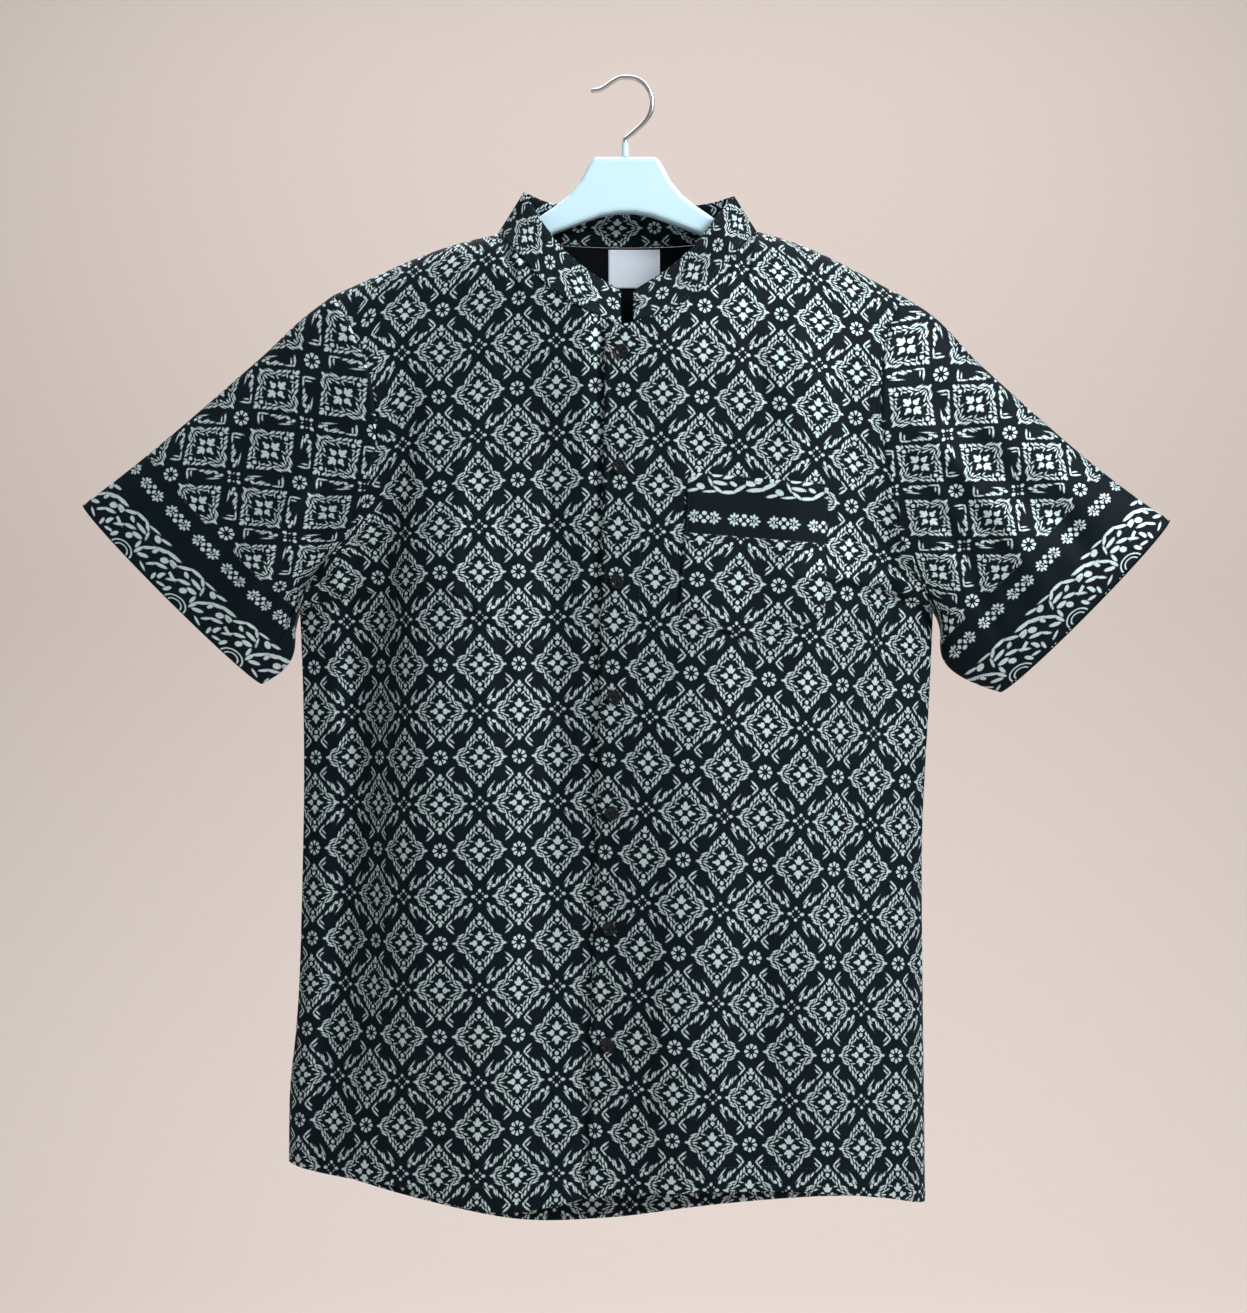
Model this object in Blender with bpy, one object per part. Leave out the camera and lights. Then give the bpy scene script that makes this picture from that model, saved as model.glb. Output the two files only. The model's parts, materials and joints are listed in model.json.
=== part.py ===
"""Mandarin collar shirt, buttoned up and hanging on its white hanger.

Sizes are in millimetres until a mesh is written, and metres from there on.
X runs to the viewer's right, Y away from the viewer and Z up. The origin is
the inner top of the hanger's hook, where the whole thing hangs.
"Right" and "left" in names are the wearer's, so the right front is at -X.

Every cloth piece is a grid of points on the outside of the cloth. The
grids share their points along the seams, so all of them together are one
sewn skin. Each grid then gets its wall inwards and a small gap at its
seams, and is a solid of its own.
"""

import bisect
import math
from collections import namedtuple

import bmesh
import bpy
from mathutils import Matrix, Vector
from mathutils.bvhtree import BVHTree
from mathutils.kdtree import KDTree

MM = 0.001

# Cloth
SHARP_ANGLE = 40
WALL = 1.2
COLLAR_WALL = 2.0
COLLAR_RISE = 0.6
SEAM_GAP = 0.4
SAME_POINT = 0.05
HEM_EXTRA = 0.7

# Grid sizes
BODY_ROWS = 11
ARM_ROWS = 11
FRONT_COLUMNS = 16
FRONT_NECK_COLUMN = 9
COLLAR_END_COLUMN = 15
BACK_COLUMNS = 28
BACK_NECK_COLUMNS = (9, 19)
SLEEVE_COLUMNS = 8
COLLAR_ROWS = 3
UNDERARM_SHARE = 0.6
# Points of an armhole on either side of the underarm where a sleeve keeps its own normals
UNDERARM_POINTS = 3
# Rows above the underarm over which the section turns from a tube's to a plain arch
LEVEL_ROWS = 5

# Neck and shoulders: where the shoulder seams start and end
NECK_RIGHT = Vector((-104.7, 0, -122))
NECK_LEFT = Vector((100.0, 0, -119.7))
SHOULDER_RIGHT = Vector((-233.0, 0, -169.3))
SHOULDER_LEFT = Vector((214.2, 0, -170.1))

# Depth of the garment in front of and behind the hanger's plane
ARMHOLE_FRONT = 33.0
ARMHOLE_BACK = 17.0
FRONT_ROLL = 120.0
BACK_ROLL = 34.0
NECK_FADE = 60.0
# How the section turns at the side seams: a higher first power is a tighter turn
SIDE_TURN_RIGHT = (2.2, 1.8)
SIDE_TURN_LEFT = (3.0, 2.0)
SIDE_TURN_BACK = (3.0, 1.8)
# Share of a front's width at the side seam where folds fade out
SIDE_FADE = 0.08
SHOULDER_ARCH = 5.0
ARCH_POWER = 1.3

# A fold fades out towards its ends with this power
FOLD_END_POWER = 0.7
# The sags of a sleeve's edges reach 1 at two thirds of its length and stay near the edge
ARCH_SCALE = 6.75
EDGE_POWER = 6
# The sleeve head's bump, in shares of the sleeve's length
HEAD_SHARE = 0.13
HEAD_WIDTH = 0.12
FAR_HEAD = math.exp(-((HEAD_SHARE / HEAD_WIDTH) ** 2))
# A sleeve takes this share of the fold's depth at the middle of its length
SLEEVE_FOLD_SHARE = 0.5

# Button stand: the left front laps over the right one
LAP = 31.0
LAP_SINK = 3.0
LAP_RAMP = 12.0
LAP_FLAT = 4.0

# Buttons
BUTTON_COUNT = 7
BUTTON_RADIUS = 5.5
BUTTON_THICK = 2.2
BUTTON_FIRST_Z = -221.0
BUTTON_PITCH = 88.0
BUTTON_FROM_EDGE = 12.5
BUTTON_BEVEL = 0.5
BUTTON_SIDES = 16

# Pieces that lie on a panel; the panel is looked for from this far in front, in metres
LIE_GAP = 0.6
LOOK_FROM_Y = -0.3
POCKET_WALL = 1.0
POCKET_CELLS = 10
LABEL_WALL = 1.0
LABEL_CELLS = 5

# Hanger
HANGER_MIDDLE_X = -3.5
HANGER_THICK = 12.4
HANGER_BEVEL = 3.6
# Only the rims' edges, sharper than this, are bevelled
HANGER_BEVEL_ANGLE = 50
HANGER_DROP = WALL + 3.0
HANGER_ARM_HEIGHT = 17.0
HANGER_ARM_END = 14.0
HANGER_ARM_SHARES = (0.1, 0.35, 0.6, 0.85)
HANGER_TIP_SHARE = 0.93
HANGER_TIP_DROP = 2.5
HANGER_TIP_HEIGHT = 8.0
FERRULE_RADIUS = 2.6
FERRULE_BOTTOM = -60.6
FERRULE_TOP = -49.6
HOOK_WIRE = 3.8

# A place on the front view
Place = namedtuple("Place", "x z")

SIDE_RIGHT = (
    Place(-268.5, -850.4),
    Place(-267.7, -795.0),
    Place(-263.0, -748.0),
    Place(-260.0, -700.0),
    Place(-257.5, -606.0),
    Place(-256.7, -543.0),
    Place(-257.5, -480.0),
    Place(-259.8, -418.9),
)
SIDE_LEFT = (
    Place(232.3, -881.0),
    Place(231.5, -795.0),
    Place(230.3, -700.0),
    Place(229.9, -606.0),
    Place(232.4, -543.0),
    Place(236.0, -480.0),
    Place(238.6, -419.7),
)
ARMHOLE_RIGHT = (
    Place(-259.8, -418.9),
    Place(-244.0, -387.0),
    Place(-215.5, -356.0),
    Place(-200.7, -316.0),
    Place(-196.0, -279.0),
    Place(-200.0, -240.0),
    Place(-213.0, -206.0),
    Place(-233.0, -169.3),
)
ARMHOLE_LEFT = (
    Place(238.6, -419.7),
    Place(225.6, -395.0),
    Place(211.0, -366.0),
    Place(200.0, -312.0),
    Place(194.0, -268.0),
    Place(194.5, -234.0),
    Place(200.0, -203.0),
    Place(214.2, -170.1),
)
# Front hem from the right side seam to the left one
HEM_FRONT = (
    Place(-268.5, -850.4),
    Place(-236.0, -855.0),
    Place(-172.0, -860.0),
    Place(-125.0, -873.0),
    Place(-95.0, -876.5),
    Place(-60.0, -872.0),
    Place(-32.0, -866.0),
    Place(22.6, -859.6),
    Place(118.0, -860.5),
    Place(190.0, -869.0),
    Place(232.3, -881.0),
)
HEM_BACK = (
    Place(-268.5, -850.4),
    Place(-240.0, -862.0),
    Place(-180.0, -882.0),
    Place(-95.0, -902.0),
    Place(-20.0, -902.0),
    Place(60.0, -892.0),
    Place(140.0, -884.0),
    Place(232.3, -881.0),
)
# Left front's free edge, from the hem up
PLACKET = (
    Place(-32.0, -866.0),
    Place(-31.2, -820.0),
    Place(-29.0, -695.0),
    Place(-25.0, -520.0),
    Place(-21.0, -330.0),
    Place(-19.0, -202.0),
)

# Middle of the front and of the back, by height
Depth = namedtuple("Depth", "z front back")
DEPTHS = (
    Depth(-900, 63, 22),
    Depth(-760, 61, 24),
    Depth(-600, 57, 25),
    Depth(-419, 53, 25),
    Depth(-300, 50, 25),
    Depth(-200, 50, 25),
    Depth(-120, 50, 24),
)

# Collar: its seam on the neck and its upper edge, round the neck
CollarRow = namedtuple("CollarRow", "seam_x seam_y seam_z top_x top_y top_z")
COLLAR_RIGHT = (
    CollarRow(-104.7, 0, -122.0, -83.4, -3, -88.9),
    CollarRow(-91.6, -24, -137.0, -70.2, -16, -112.0),
    CollarRow(-82.0, -30, -148.3, -62.0, -20, -124.0),
    CollarRow(-65.4, -38, -168.3, -50.5, -24, -138.6),
    CollarRow(-38.4, -45, -186.4, -29.5, -28, -157.0),
    CollarRow(-7.0, -48, -200.7, -7.0, -30, -168.3),
)
COLLAR_LEFT = (
    CollarRow(100.0, 0, -119.7, 81.9, -3, -92.0),
    CollarRow(86.8, -24, -136.2, 67.0, -16, -110.5),
    CollarRow(75.6, -31, -149.3, 60.0, -19, -121.0),
    CollarRow(59.8, -39, -167.8, 46.0, -22.5, -138.0),
    CollarRow(32.0, -46, -188.2, 24.0, -27.5, -157.0),
    CollarRow(2.2, -48, -198.4, 2.2, -30, -168.4),
)
COLLAR_BACK = (
    CollarRow(-104.7, 0, -122.0, -83.4, -3, -88.9),
    CollarRow(-80.0, 14, -125.0, -64.0, 9, -94.5),
    CollarRow(-45.0, 21, -127.0, -38.0, 15, -96.5),
    CollarRow(-2.5, 23, -127.8, -1.0, 17, -97.0),
    CollarRow(40.0, 21, -127.0, 36.0, 15, -96.5),
    CollarRow(75.0, 14, -124.0, 62.0, 9, -95.3),
    CollarRow(100.0, 0, -119.7, 81.9, -3, -92.0),
)
# How far each front goes past its collar end, under or over the other
NECK_END_RIGHT = Vector((12.0, -47.5, -202.5))
NECK_END_LEFT = Vector((-19.0, -48.5, -202.0))

# Sleeve hems: the ends of the flattened opening, the depth of its two halves,
# how far each half bows out along the sleeve, how far the under and the upper
# edge sag, and the bump of the sleeve head beside the shoulder
SleeveHem = namedtuple("SleeveHem", "top bottom front back bow back_bow sag top_sag bump")
HEM_RIGHT = SleeveHem(
    Place(-430.7, -334.6), Place(-289.8, -475.6),
    front=19, back=13, bow=3, back_bow=4.5, sag=13, top_sag=3.5, bump=3,
)
HEM_LEFT = SleeveHem(
    Place(425.2, -346.5), Place(291.3, -481.9),
    front=19, back=13, bow=1.5, back_bow=8, sag=24, top_sag=7, bump=7,
)

# Largest folds: a trough (depth above 0) or a ridge, along a straight line
Fold = namedtuple("Fold", "x0 z0 x1 z1 width depth")
FRONT_FOLDS = (
    Fold(-188, -300, -236, -900, 26, 8.0),
    Fold(-118, -190, -112, -760, 40, -5.0),
    Fold(-60, -330, -66, -930, 22, 3.5),
    Fold(-14, -560, -17, -960, 28, 5.5),
    Fold(40, -640, 34, -940, 26, -4.0),
    Fold(196, -250, 206, -560, 16, 5.0),
    Fold(120, -470, 150, -920, 34, -3.5),
    Fold(-170, -185, -330, -420, 20, -7.0),
    Fold(-225, -250, -262, -470, 12, 8.0),
    Fold(235, -300, 330, -440, 20, 5.0),
)
BACK_FOLDS = (
    Fold(-150, -230, -165, -930, 34, 5.0),
    Fold(-20, -260, -30, -940, 40, -3.0),
    Fold(110, -240, 120, -930, 36, 4.5),
    Fold(-230, -260, -340, -400, 22, 4.0),
    Fold(215, -260, 330, -400, 22, 4.0),
)

# Pocket on the left front, and the label inside the back of the neck
POCKET_TOP = (Place(44.3, -313.5), Place(152.2, -321.9))
POCKET_BOTTOM = (Place(36.2, -419.8), Place(148.4, -423.7))
POCKET_POINT = Place(91.7, -443.6)
LABEL = (Place(-17.4, -129.5), Place(24.0, -160.0))

# Hanger's middle: half widths of its upper edge and the arch under it
HANGER_TOP = (
    Place(25.0, -61.2),
    Place(29.5, -68.5),
    Place(35.5, -80.0),
    Place(44.5, -91.0),
    Place(55.0, -99.5),
    Place(68.0, -108.3),
    Place(79.0, -117.5),
    Place(89.0, -126.0),
)
HANGER_ARCH = (
    Place(78.0, -131.5),
    Place(55.5, -120.8),
    Place(37.5, -113.9),
    Place(20.5, -107.8),
    Place(7.0, -105.3),
)
# Hook: the middle of its wire, from the ferrule up and over
HOOK = (
    Place(-3.9, -48.9),
    Place(-3.6, -46.8),
    Place(2.4, -41.5),
    Place(9.9, -34.6),
    Place(15.6, -27.0),
    Place(17.6, -18.5),
    Place(16.2, -10.5),
    Place(12.4, -4.2),
    Place(6.4, 0.4),
    Place(0.0, 1.9),
    Place(-7.9, 1.7),
    Place(-14.2, -1.6),
    Place(-20.5, -6.0),
    Place(-25.0, -8.0),
    Place(-29.1, -8.4),
)
HOOK_POINTS = 34


class SmoothLine:
    """A smooth curve through a few points, read by the share of its length."""

    STEPS = 12

    def __init__(self, points):
        """Fit the curve through the given vectors."""
        ends = [points[0] * 2 - points[1], *points, points[-1] * 2 - points[-2]]
        self.points = []
        for before, start, end, after in zip(ends, ends[1:], ends[2:], ends[3:]):
            pull_in = (end - before) / 2
            pull_out = (after - start) / 2
            for step in range(self.STEPS):
                self.points.append(hermite(start, pull_in, end, pull_out, step / self.STEPS))
        self.points.append(points[-1])
        self.lengths = [0.0]
        for start, end in zip(self.points, self.points[1:]):
            self.lengths.append(self.lengths[-1] + (end - start).length)

    def at(self, share):
        """Give the point at a share (0 to 1) of the curve's length."""
        length = share * self.lengths[-1]
        index = min(bisect.bisect_right(self.lengths, length), len(self.lengths) - 1)
        start = self.lengths[index - 1]
        part = (length - start) / (self.lengths[index] - start)
        return self.points[index - 1].lerp(self.points[index], part)


def hermite(start, pull_in, end, pull_out, share):
    """Read a cubic between two points with the given pulls."""
    square = share * share
    cube = square * share
    return (
        start * (2 * cube - 3 * square + 1)
        + pull_in * (cube - 2 * square + share)
        + end * (3 * square - 2 * cube)
        + pull_out * (cube - square)
    )


def flat_line(places):
    """Make a smooth line in the hanger's plane through places."""
    return SmoothLine([Vector((place.x, 0, place.z)) for place in places])


def soft_step(share):
    """Ease from 0 to 1 as the share goes from 0 to 1."""
    share = min(max(share, 0.0), 1.0)
    return share * share * (3 - 2 * share)


def rounded(share, sharp, flat):
    """Rise steeply from 0 at the edge and level out at 1, like a flat tube's side."""
    return (1 - (1 - min(max(share, 0.0), 1.0)) ** sharp) ** (1 / flat)


def quarter_round(share):
    """Rise from 0 to 1 like a quarter of a circle."""
    return rounded(share, 2, 2)


def both_ends(index, count):
    """Share of the way with the steps drawn together at both ends."""
    return (1 - math.cos(math.pi * index / count)) / 2


def one_end(index, count):
    """Share of the way with the steps drawn together at the start."""
    return 1 - math.cos(math.pi / 2 * index / count)


def middle_depths(z):
    """Give the depth of the front's and the back's middle at a height."""
    for low, high in zip(DEPTHS, DEPTHS[1:]):
        if z <= high.z:
            break
    share = soft_step((z - low.z) / (high.z - low.z))
    return (
        low.front + (high.front - low.front) * share,
        low.back + (high.back - low.back) * share,
    )


def fold_depth(folds, point):
    """Sum the folds' depths at a point of the front view."""
    total = 0.0
    for fold in folds:
        start = Vector((fold.x0, fold.z0))
        along = Vector((fold.x1, fold.z1)) - start
        length = along.length
        along.normalize()
        offset = Vector((point.x, point.z)) - start
        share = offset.dot(along) / length
        if 0 < share < 1:
            side = offset.cross(along) / fold.width
            total += fold.depth * math.sin(math.pi * share) ** FOLD_END_POWER * math.exp(-side * side)
    return total


def row_shares():
    """Give each row's share of the garment's height, hem first."""
    shares = [UNDERARM_SHARE * row / BODY_ROWS for row in range(BODY_ROWS)]
    for row in range(ARM_ROWS + 1):
        shares.append(UNDERARM_SHARE + (1 - UNDERARM_SHARE) * both_ends(row, ARM_ROWS))
    return shares


def side_points(side, armhole):
    """Give a panel's outer edge: up the side seam and then round the armhole."""
    seam = flat_line(side)
    hole = flat_line(armhole)
    points = [seam.at(row / BODY_ROWS) for row in range(BODY_ROWS)]
    points += [hole.at(both_ends(row, ARM_ROWS)) for row in range(ARM_ROWS + 1)]
    return points


def armhole_depth(row, full):
    """Depth of the armhole edge at a row, nothing at the side seam."""
    if row < BODY_ROWS:
        return 0.0
    return full * quarter_round(2 * both_ends(row - BODY_ROWS, ARM_ROWS))


def blend_grid(bottom, top, start, end, rows, columns):
    """Fill a grid between four edges, given the rows' and columns' shares."""
    grid = []
    for row, up in enumerate(rows):
        line = []
        for column, across in enumerate(columns):
            point = bottom[column].lerp(top[column], up) + start[row].lerp(end[row], across)
            low = bottom[0].lerp(bottom[-1], across)
            high = top[0].lerp(top[-1], across)
            line.append(point - low.lerp(high, up))
        grid.append(line)
    return grid


def shoulder_point(neck, shoulder, share):
    """Give a point on the slightly arched shoulder seam, a share of the way to the neck."""
    point = shoulder.lerp(neck, share)
    point.z += SHOULDER_ARCH * math.sin(math.pi * share ** ARCH_POWER)
    return point


def shoulder_seam(neck, shoulder, steps):
    """Give the points of a shoulder seam from the armhole to just before the neck."""
    return [shoulder_point(neck, shoulder, step / steps) for step in range(steps)]


def front_grid(neck, shoulder, collar, neck_end, side, armhole, hem_span, edge, shape, sink):
    """Lay out one front as a grid, from its side seam to its free edge.

    `hem_span` gives the shares of the front hem at the side and at the edge,
    `shape` how sharply the side turns, and `sink` how far a point lies back.
    """
    hem = flat_line(HEM_FRONT)
    rows = row_shares()
    columns = [one_end(column, FRONT_COLUMNS) for column in range(FRONT_COLUMNS + 1)]
    seam = SmoothLine([Vector((row.seam_x, row.seam_y, row.seam_z)) for row in collar])
    shoulder_steps = FRONT_NECK_COLUMN
    neck_steps = COLLAR_END_COLUMN - FRONT_NECK_COLUMN
    top = shoulder_seam(neck, shoulder, shoulder_steps)
    top += [seam.at(step / neck_steps) for step in range(neck_steps + 1)]
    top.append(neck_end)
    flat_top = [Vector((point.x, 0, point.z)) for point in top]
    outer = side_points(side, armhole)
    inner = [edge.at(up) for up in rows]
    inner[-1] = flat_top[-1]
    bottom = [hem.at(hem_span[0] + (hem_span[1] - hem_span[0]) * across) for across in columns]
    bottom[-1] = inner[0]
    grid = blend_grid(bottom, flat_top, outer, inner, rows, columns)
    for row, line in enumerate(grid):
        upper = soft_step((row - BODY_ROWS) / LEVEL_ROWS)
        for column, point in enumerate(line):
            ridge = flat_top[column].z if column <= shoulder_steps else neck.z
            point.y = -front_depth(point, row, columns[column], upper, ridge, shape)
            if column > shoulder_steps:
                miss = top[column].y + front_depth(
                    flat_top[column], len(rows) - 1, columns[column], 1.0, neck.z, shape
                )
                point.y += miss * soft_step(1 - (flat_top[column].z - point.z) / NECK_FADE)
            fade = soft_step(columns[column] / SIDE_FADE) if row < BODY_ROWS + 2 else 1.0
            below_top = (flat_top[column].z - point.z) / NECK_FADE
            point.y += fold_depth(FRONT_FOLDS, point) * fade * soft_step(below_top)
            point.y += sink(point)
    for column in range(shoulder_steps + 1):
        grid[-1][column].y = 0
    return grid


def front_depth(point, row, across, upper, ridge, shape):
    """Depth of a front at a point, before its folds."""
    edge = armhole_depth(row, ARMHOLE_FRONT)
    low = rounded(across, *shape)
    high = math.sin(math.pi / 2 * across)
    level = low + (high - low) * upper
    depth = edge + (middle_depths(point.z)[0] - edge) * level
    return depth * quarter_round((ridge - point.z) / FRONT_ROLL)


def lap_edge_x(z):
    """X of the left front's free edge at a height."""
    for low, high in zip(PLACKET, PLACKET[1:]):
        if z <= high.z:
            break
    return low.x + (high.x - low.x) * (z - low.z) / (high.z - low.z)


def lap_sink(point):
    """How far the right front lies back to pass under the left one."""
    start = lap_edge_x(point.z) - LAP_RAMP - LAP_FLAT
    return LAP_SINK * soft_step((point.x - start) / LAP_RAMP)


def back_grid():
    """Lay out the back as a grid, from its right side seam to its left one."""
    rows = row_shares()
    count = BACK_COLUMNS
    columns = [both_ends(column, count) for column in range(count + 1)]
    first, last = BACK_NECK_COLUMNS
    seam = SmoothLine([Vector((row.seam_x, row.seam_y, row.seam_z)) for row in COLLAR_BACK])
    top = shoulder_seam(NECK_RIGHT, SHOULDER_RIGHT, first)
    top += [seam.at(step / (last - first)) for step in range(last - first + 1)]
    top += reversed(shoulder_seam(NECK_LEFT, SHOULDER_LEFT, count - last))
    flat_top = [Vector((point.x, 0, point.z)) for point in top]
    hem = flat_line(HEM_BACK)
    bottom = [hem.at(across) for across in columns]
    right = side_points(SIDE_RIGHT, ARMHOLE_RIGHT)
    left = side_points(SIDE_LEFT, ARMHOLE_LEFT)
    grid = blend_grid(bottom, flat_top, right, left, rows, columns)
    for row, line in enumerate(grid):
        upper = soft_step((row - BODY_ROWS) / LEVEL_ROWS)
        for column, point in enumerate(line):
            inward = 1 - abs(2 * columns[column] - 1)
            in_neck = first < column < last
            ridge = max(top[first].z, top[last].z) if in_neck else flat_top[column].z
            edge = armhole_depth(row, ARMHOLE_BACK)
            level = rounded(inward, *SIDE_TURN_BACK)
            level += (math.sin(math.pi / 2 * inward) - level) * upper
            depth = edge + (middle_depths(point.z)[1] - edge) * level
            point.y = depth * quarter_round((ridge - point.z) / BACK_ROLL)
            below_top = (flat_top[column].z - point.z) / NECK_FADE
            if in_neck:
                share = soft_step(1 - below_top)
                point.y += (top[column].y - point.y) * share
            fade = soft_step(inward / SIDE_FADE / 2) if row < BODY_ROWS + 2 else 1.0
            point.y -= fold_depth(BACK_FOLDS, point) * fade * soft_step(below_top)
    return grid


def sleeve_ring(front_line, back_line):
    """Join the front's and the back's armhole edges into one ring, underarm first."""
    return list(front_line) + list(reversed(back_line))[1:-1]


def sleeve_grid(armhole, hem):
    """Lay out a sleeve as rings from the armhole to the hem."""
    top = Vector((hem.top.x, 0, hem.top.z))
    bottom = Vector((hem.bottom.x, 0, hem.bottom.z))
    rise = top - bottom
    outward = Vector((-rise.z, 0, rise.x)).normalized()
    if outward.x * hem.top.x < 0:
        outward.negate()
    count = len(armhole)
    grid = []
    for column in range(SLEEVE_COLUMNS + 1):
        share = column / SLEEVE_COLUMNS
        ring = []
        for index, start in enumerate(armhole):
            in_front = index <= ARM_ROWS
            step = index if in_front else count - index
            up = both_ends(step, ARM_ROWS)
            end = bottom + rise * up
            width = quarter_round(2 * min(up, 1 - up))
            end.y = -hem.front * width if in_front else hem.back * width
            end += outward * width * (hem.bow if in_front else hem.back_bow)
            point = start.lerp(end, share)
            arch = ARCH_SCALE * share * share * (1 - share)
            toward_body = -math.copysign(1, hem.top.x)
            point.x += toward_body * hem.sag * arch * (1 - up) ** EDGE_POWER
            head = math.exp(-((share - HEAD_SHARE) / HEAD_WIDTH) ** 2) - FAR_HEAD * (1 - share)
            point.z -= (hem.top_sag * arch - hem.bump * max(head, 0)) * up ** EDGE_POWER
            folds = FRONT_FOLDS if in_front else BACK_FOLDS
            turn = 1 if in_front else -1
            fade = SLEEVE_FOLD_SHARE * 4 * share * (1 - share)
            point.y += turn * fold_depth(folds, point) * fade * width
            ring.append(point)
        grid.append(ring)
    return grid


def collar_part(seam_points, rows):
    """Stand one stretch of the collar on its seam points, up to its upper edge."""
    edge = SmoothLine([Vector((row.top_x, row.top_y, row.top_z)) for row in rows])
    last = len(seam_points) - 1
    return [(point, edge.at(index / last)) for index, point in enumerate(seam_points)]


def collar_grid(right, back, left):
    """Lay out the collar as a grid, from its right front end round to its left one."""
    span = slice(FRONT_NECK_COLUMN, COLLAR_END_COLUMN + 1)
    first, last = BACK_NECK_COLUMNS
    pairs = list(reversed(collar_part(right[-1][span], COLLAR_RIGHT)))
    pairs += collar_part(back[-1][first:last + 1], COLLAR_BACK)[1:]
    pairs += collar_part(left[-1][span], COLLAR_LEFT)[1:]
    grid = []
    for row in range(COLLAR_ROWS + 1):
        share = row / COLLAR_ROWS
        grid.append([low.lerp(high, share) for low, high in pairs])
    return grid


class Sheet:
    """A cloth piece: a grid of outer points, its wall, and how it closes."""

    def __init__(self, name, grid, turn, wall, wraps=False, own=None, rise=SEAM_GAP / 2):
        """Keep the grid, the side its normals turn to (1 or -1) and its wall function.

        `own` says at which grid points the sheet keeps its own normal, and
        `rise` is how far its first row stands back from the seam.
        """
        self.name = name
        self.own = own
        self.rise = rise
        self.grid = grid
        self.turn = turn
        self.wall = wall
        self.wraps = wraps
        self.rows = len(grid)
        self.columns = len(grid[0])

    def cells(self):
        """Yield the four corners (row, column) of every cell."""
        spans = self.columns if self.wraps else self.columns - 1
        for row in range(self.rows - 1):
            for column in range(spans):
                beside = (column + 1) % self.columns
                yield (row, column), (row, beside), (row + 1, beside), (row + 1, column)

    def find_normals(self):
        """Set each grid point's normal to the sum of its cells' normals."""
        spots = [(row, column) for row in range(self.rows) for column in range(self.columns)]
        self.normals = {spot: Vector() for spot in spots}
        for corners in self.cells():
            points = [self.grid[row][column] for row, column in corners]
            normal = (points[2] - points[0]).cross(points[3] - points[1]) * self.turn
            normal.normalize()
            for spot in corners:
                self.normals[spot] += normal

    def inset(self, row, column):
        """Give a grid point, moved back from the sheet's edge by half a seam's gap."""
        point = self.grid[row][column]
        move = Vector()
        if row in (0, self.rows - 1):
            inner = self.grid[1 if row == 0 else row - 1][column]
            move += (inner - point).normalized() * (self.rise if row == 0 else SEAM_GAP / 2)
        if not self.wraps and column in (0, self.columns - 1):
            inner = self.grid[row][1 if column == 0 else column - 1]
            move += (inner - point).normalized() * SEAM_GAP / 2
        return point + move

    def make(self, material):
        """Build the sheet's solid and give its object."""
        mesh = bmesh.new()
        outer = {}
        inner = {}
        for row in range(self.rows):
            for column in range(self.columns):
                normal = self.normals[row, column].normalized()
                point = self.inset(row, column)
                outer[row, column] = mesh.verts.new(point * MM)
                inner[row, column] = mesh.verts.new((point - normal * self.wall(row, column)) * MM)
        for corners in self.cells():
            mesh.faces.new([outer[corner] for corner in corners])
            mesh.faces.new([inner[corner] for corner in reversed(corners)])
        for start, end in self.rim():
            mesh.faces.new((outer[end], outer[start], inner[start], inner[end]))
        bmesh.ops.recalc_face_normals(mesh, faces=mesh.faces)
        return finish(self.name, mesh, material)

    def rim(self):
        """Yield the edges of the sheet's rim in the outer faces' direction."""
        for corners in self.cells():
            for start, end in zip(corners, corners[1:] + corners[:1]):
                along_rows = start[0] == end[0] and start[0] in (0, self.rows - 1)
                along_columns = start[1] == end[1] and start[1] in (0, self.columns - 1)
                if along_rows or (along_columns and not self.wraps):
                    yield start, end


def sew(sheets):
    """Give the sheets one normal at each seam point that they share."""
    for sheet in sheets:
        sheet.find_normals()
    shared = [
        (sheet, spot) for sheet in sheets for spot in sheet.normals
        if not (sheet.own and sheet.own(*spot))
    ]
    tree = KDTree(len(shared))
    for index, (sheet, (row, column)) in enumerate(shared):
        tree.insert(sheet.grid[row][column], index)
    tree.balance()
    sums = {}
    for index, (sheet, (row, column)) in enumerate(shared):
        total = Vector()
        for _, other, _ in tree.find_range(sheet.grid[row][column], SAME_POINT):
            near, spot = shared[other]
            total += near.normals[spot]
        sums[index] = total
    for index, (sheet, spot) in enumerate(shared):
        sheet.normals[spot] = sums[index]


def finish(name, mesh, material, smooth=True):
    """Turn a bmesh into an object of the scene with its material."""
    data = bpy.data.meshes.new(name)
    mesh.to_mesh(data)
    mesh.free()
    if smooth:
        data.shade_smooth()
        data.set_sharp_from_angle(angle=math.radians(SHARP_ANGLE))
    data.materials.append(material)
    result = bpy.data.objects.new(name, data)
    bpy.context.scene.collection.objects.link(result)
    return result


def make_material(name, colour, roughness, metallic=0.0):
    """Make a plain material."""
    material = bpy.data.materials.new(name)
    material.use_nodes = True
    shader = material.node_tree.nodes["Principled BSDF"]
    shader.inputs["Base Color"].default_value = (*colour, 1)
    shader.inputs["Roughness"].default_value = roughness
    shader.inputs["Metallic"].default_value = metallic
    return material


def surface_of(item):
    """Give an object's surface as a tree for finding points on it."""
    mesh = bmesh.new()
    mesh.from_mesh(item.data)
    tree = BVHTree.FromBMesh(mesh)
    mesh.free()
    return tree


def point_on(tree, place):
    """Find the first surface seen from the front at a place, with its normal."""
    start = Vector((place.x * MM, LOOK_FROM_Y, place.z * MM))
    point, normal, _, _ = tree.ray_cast(start, Vector((0, 1, 0)))
    return point / MM, normal


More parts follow.
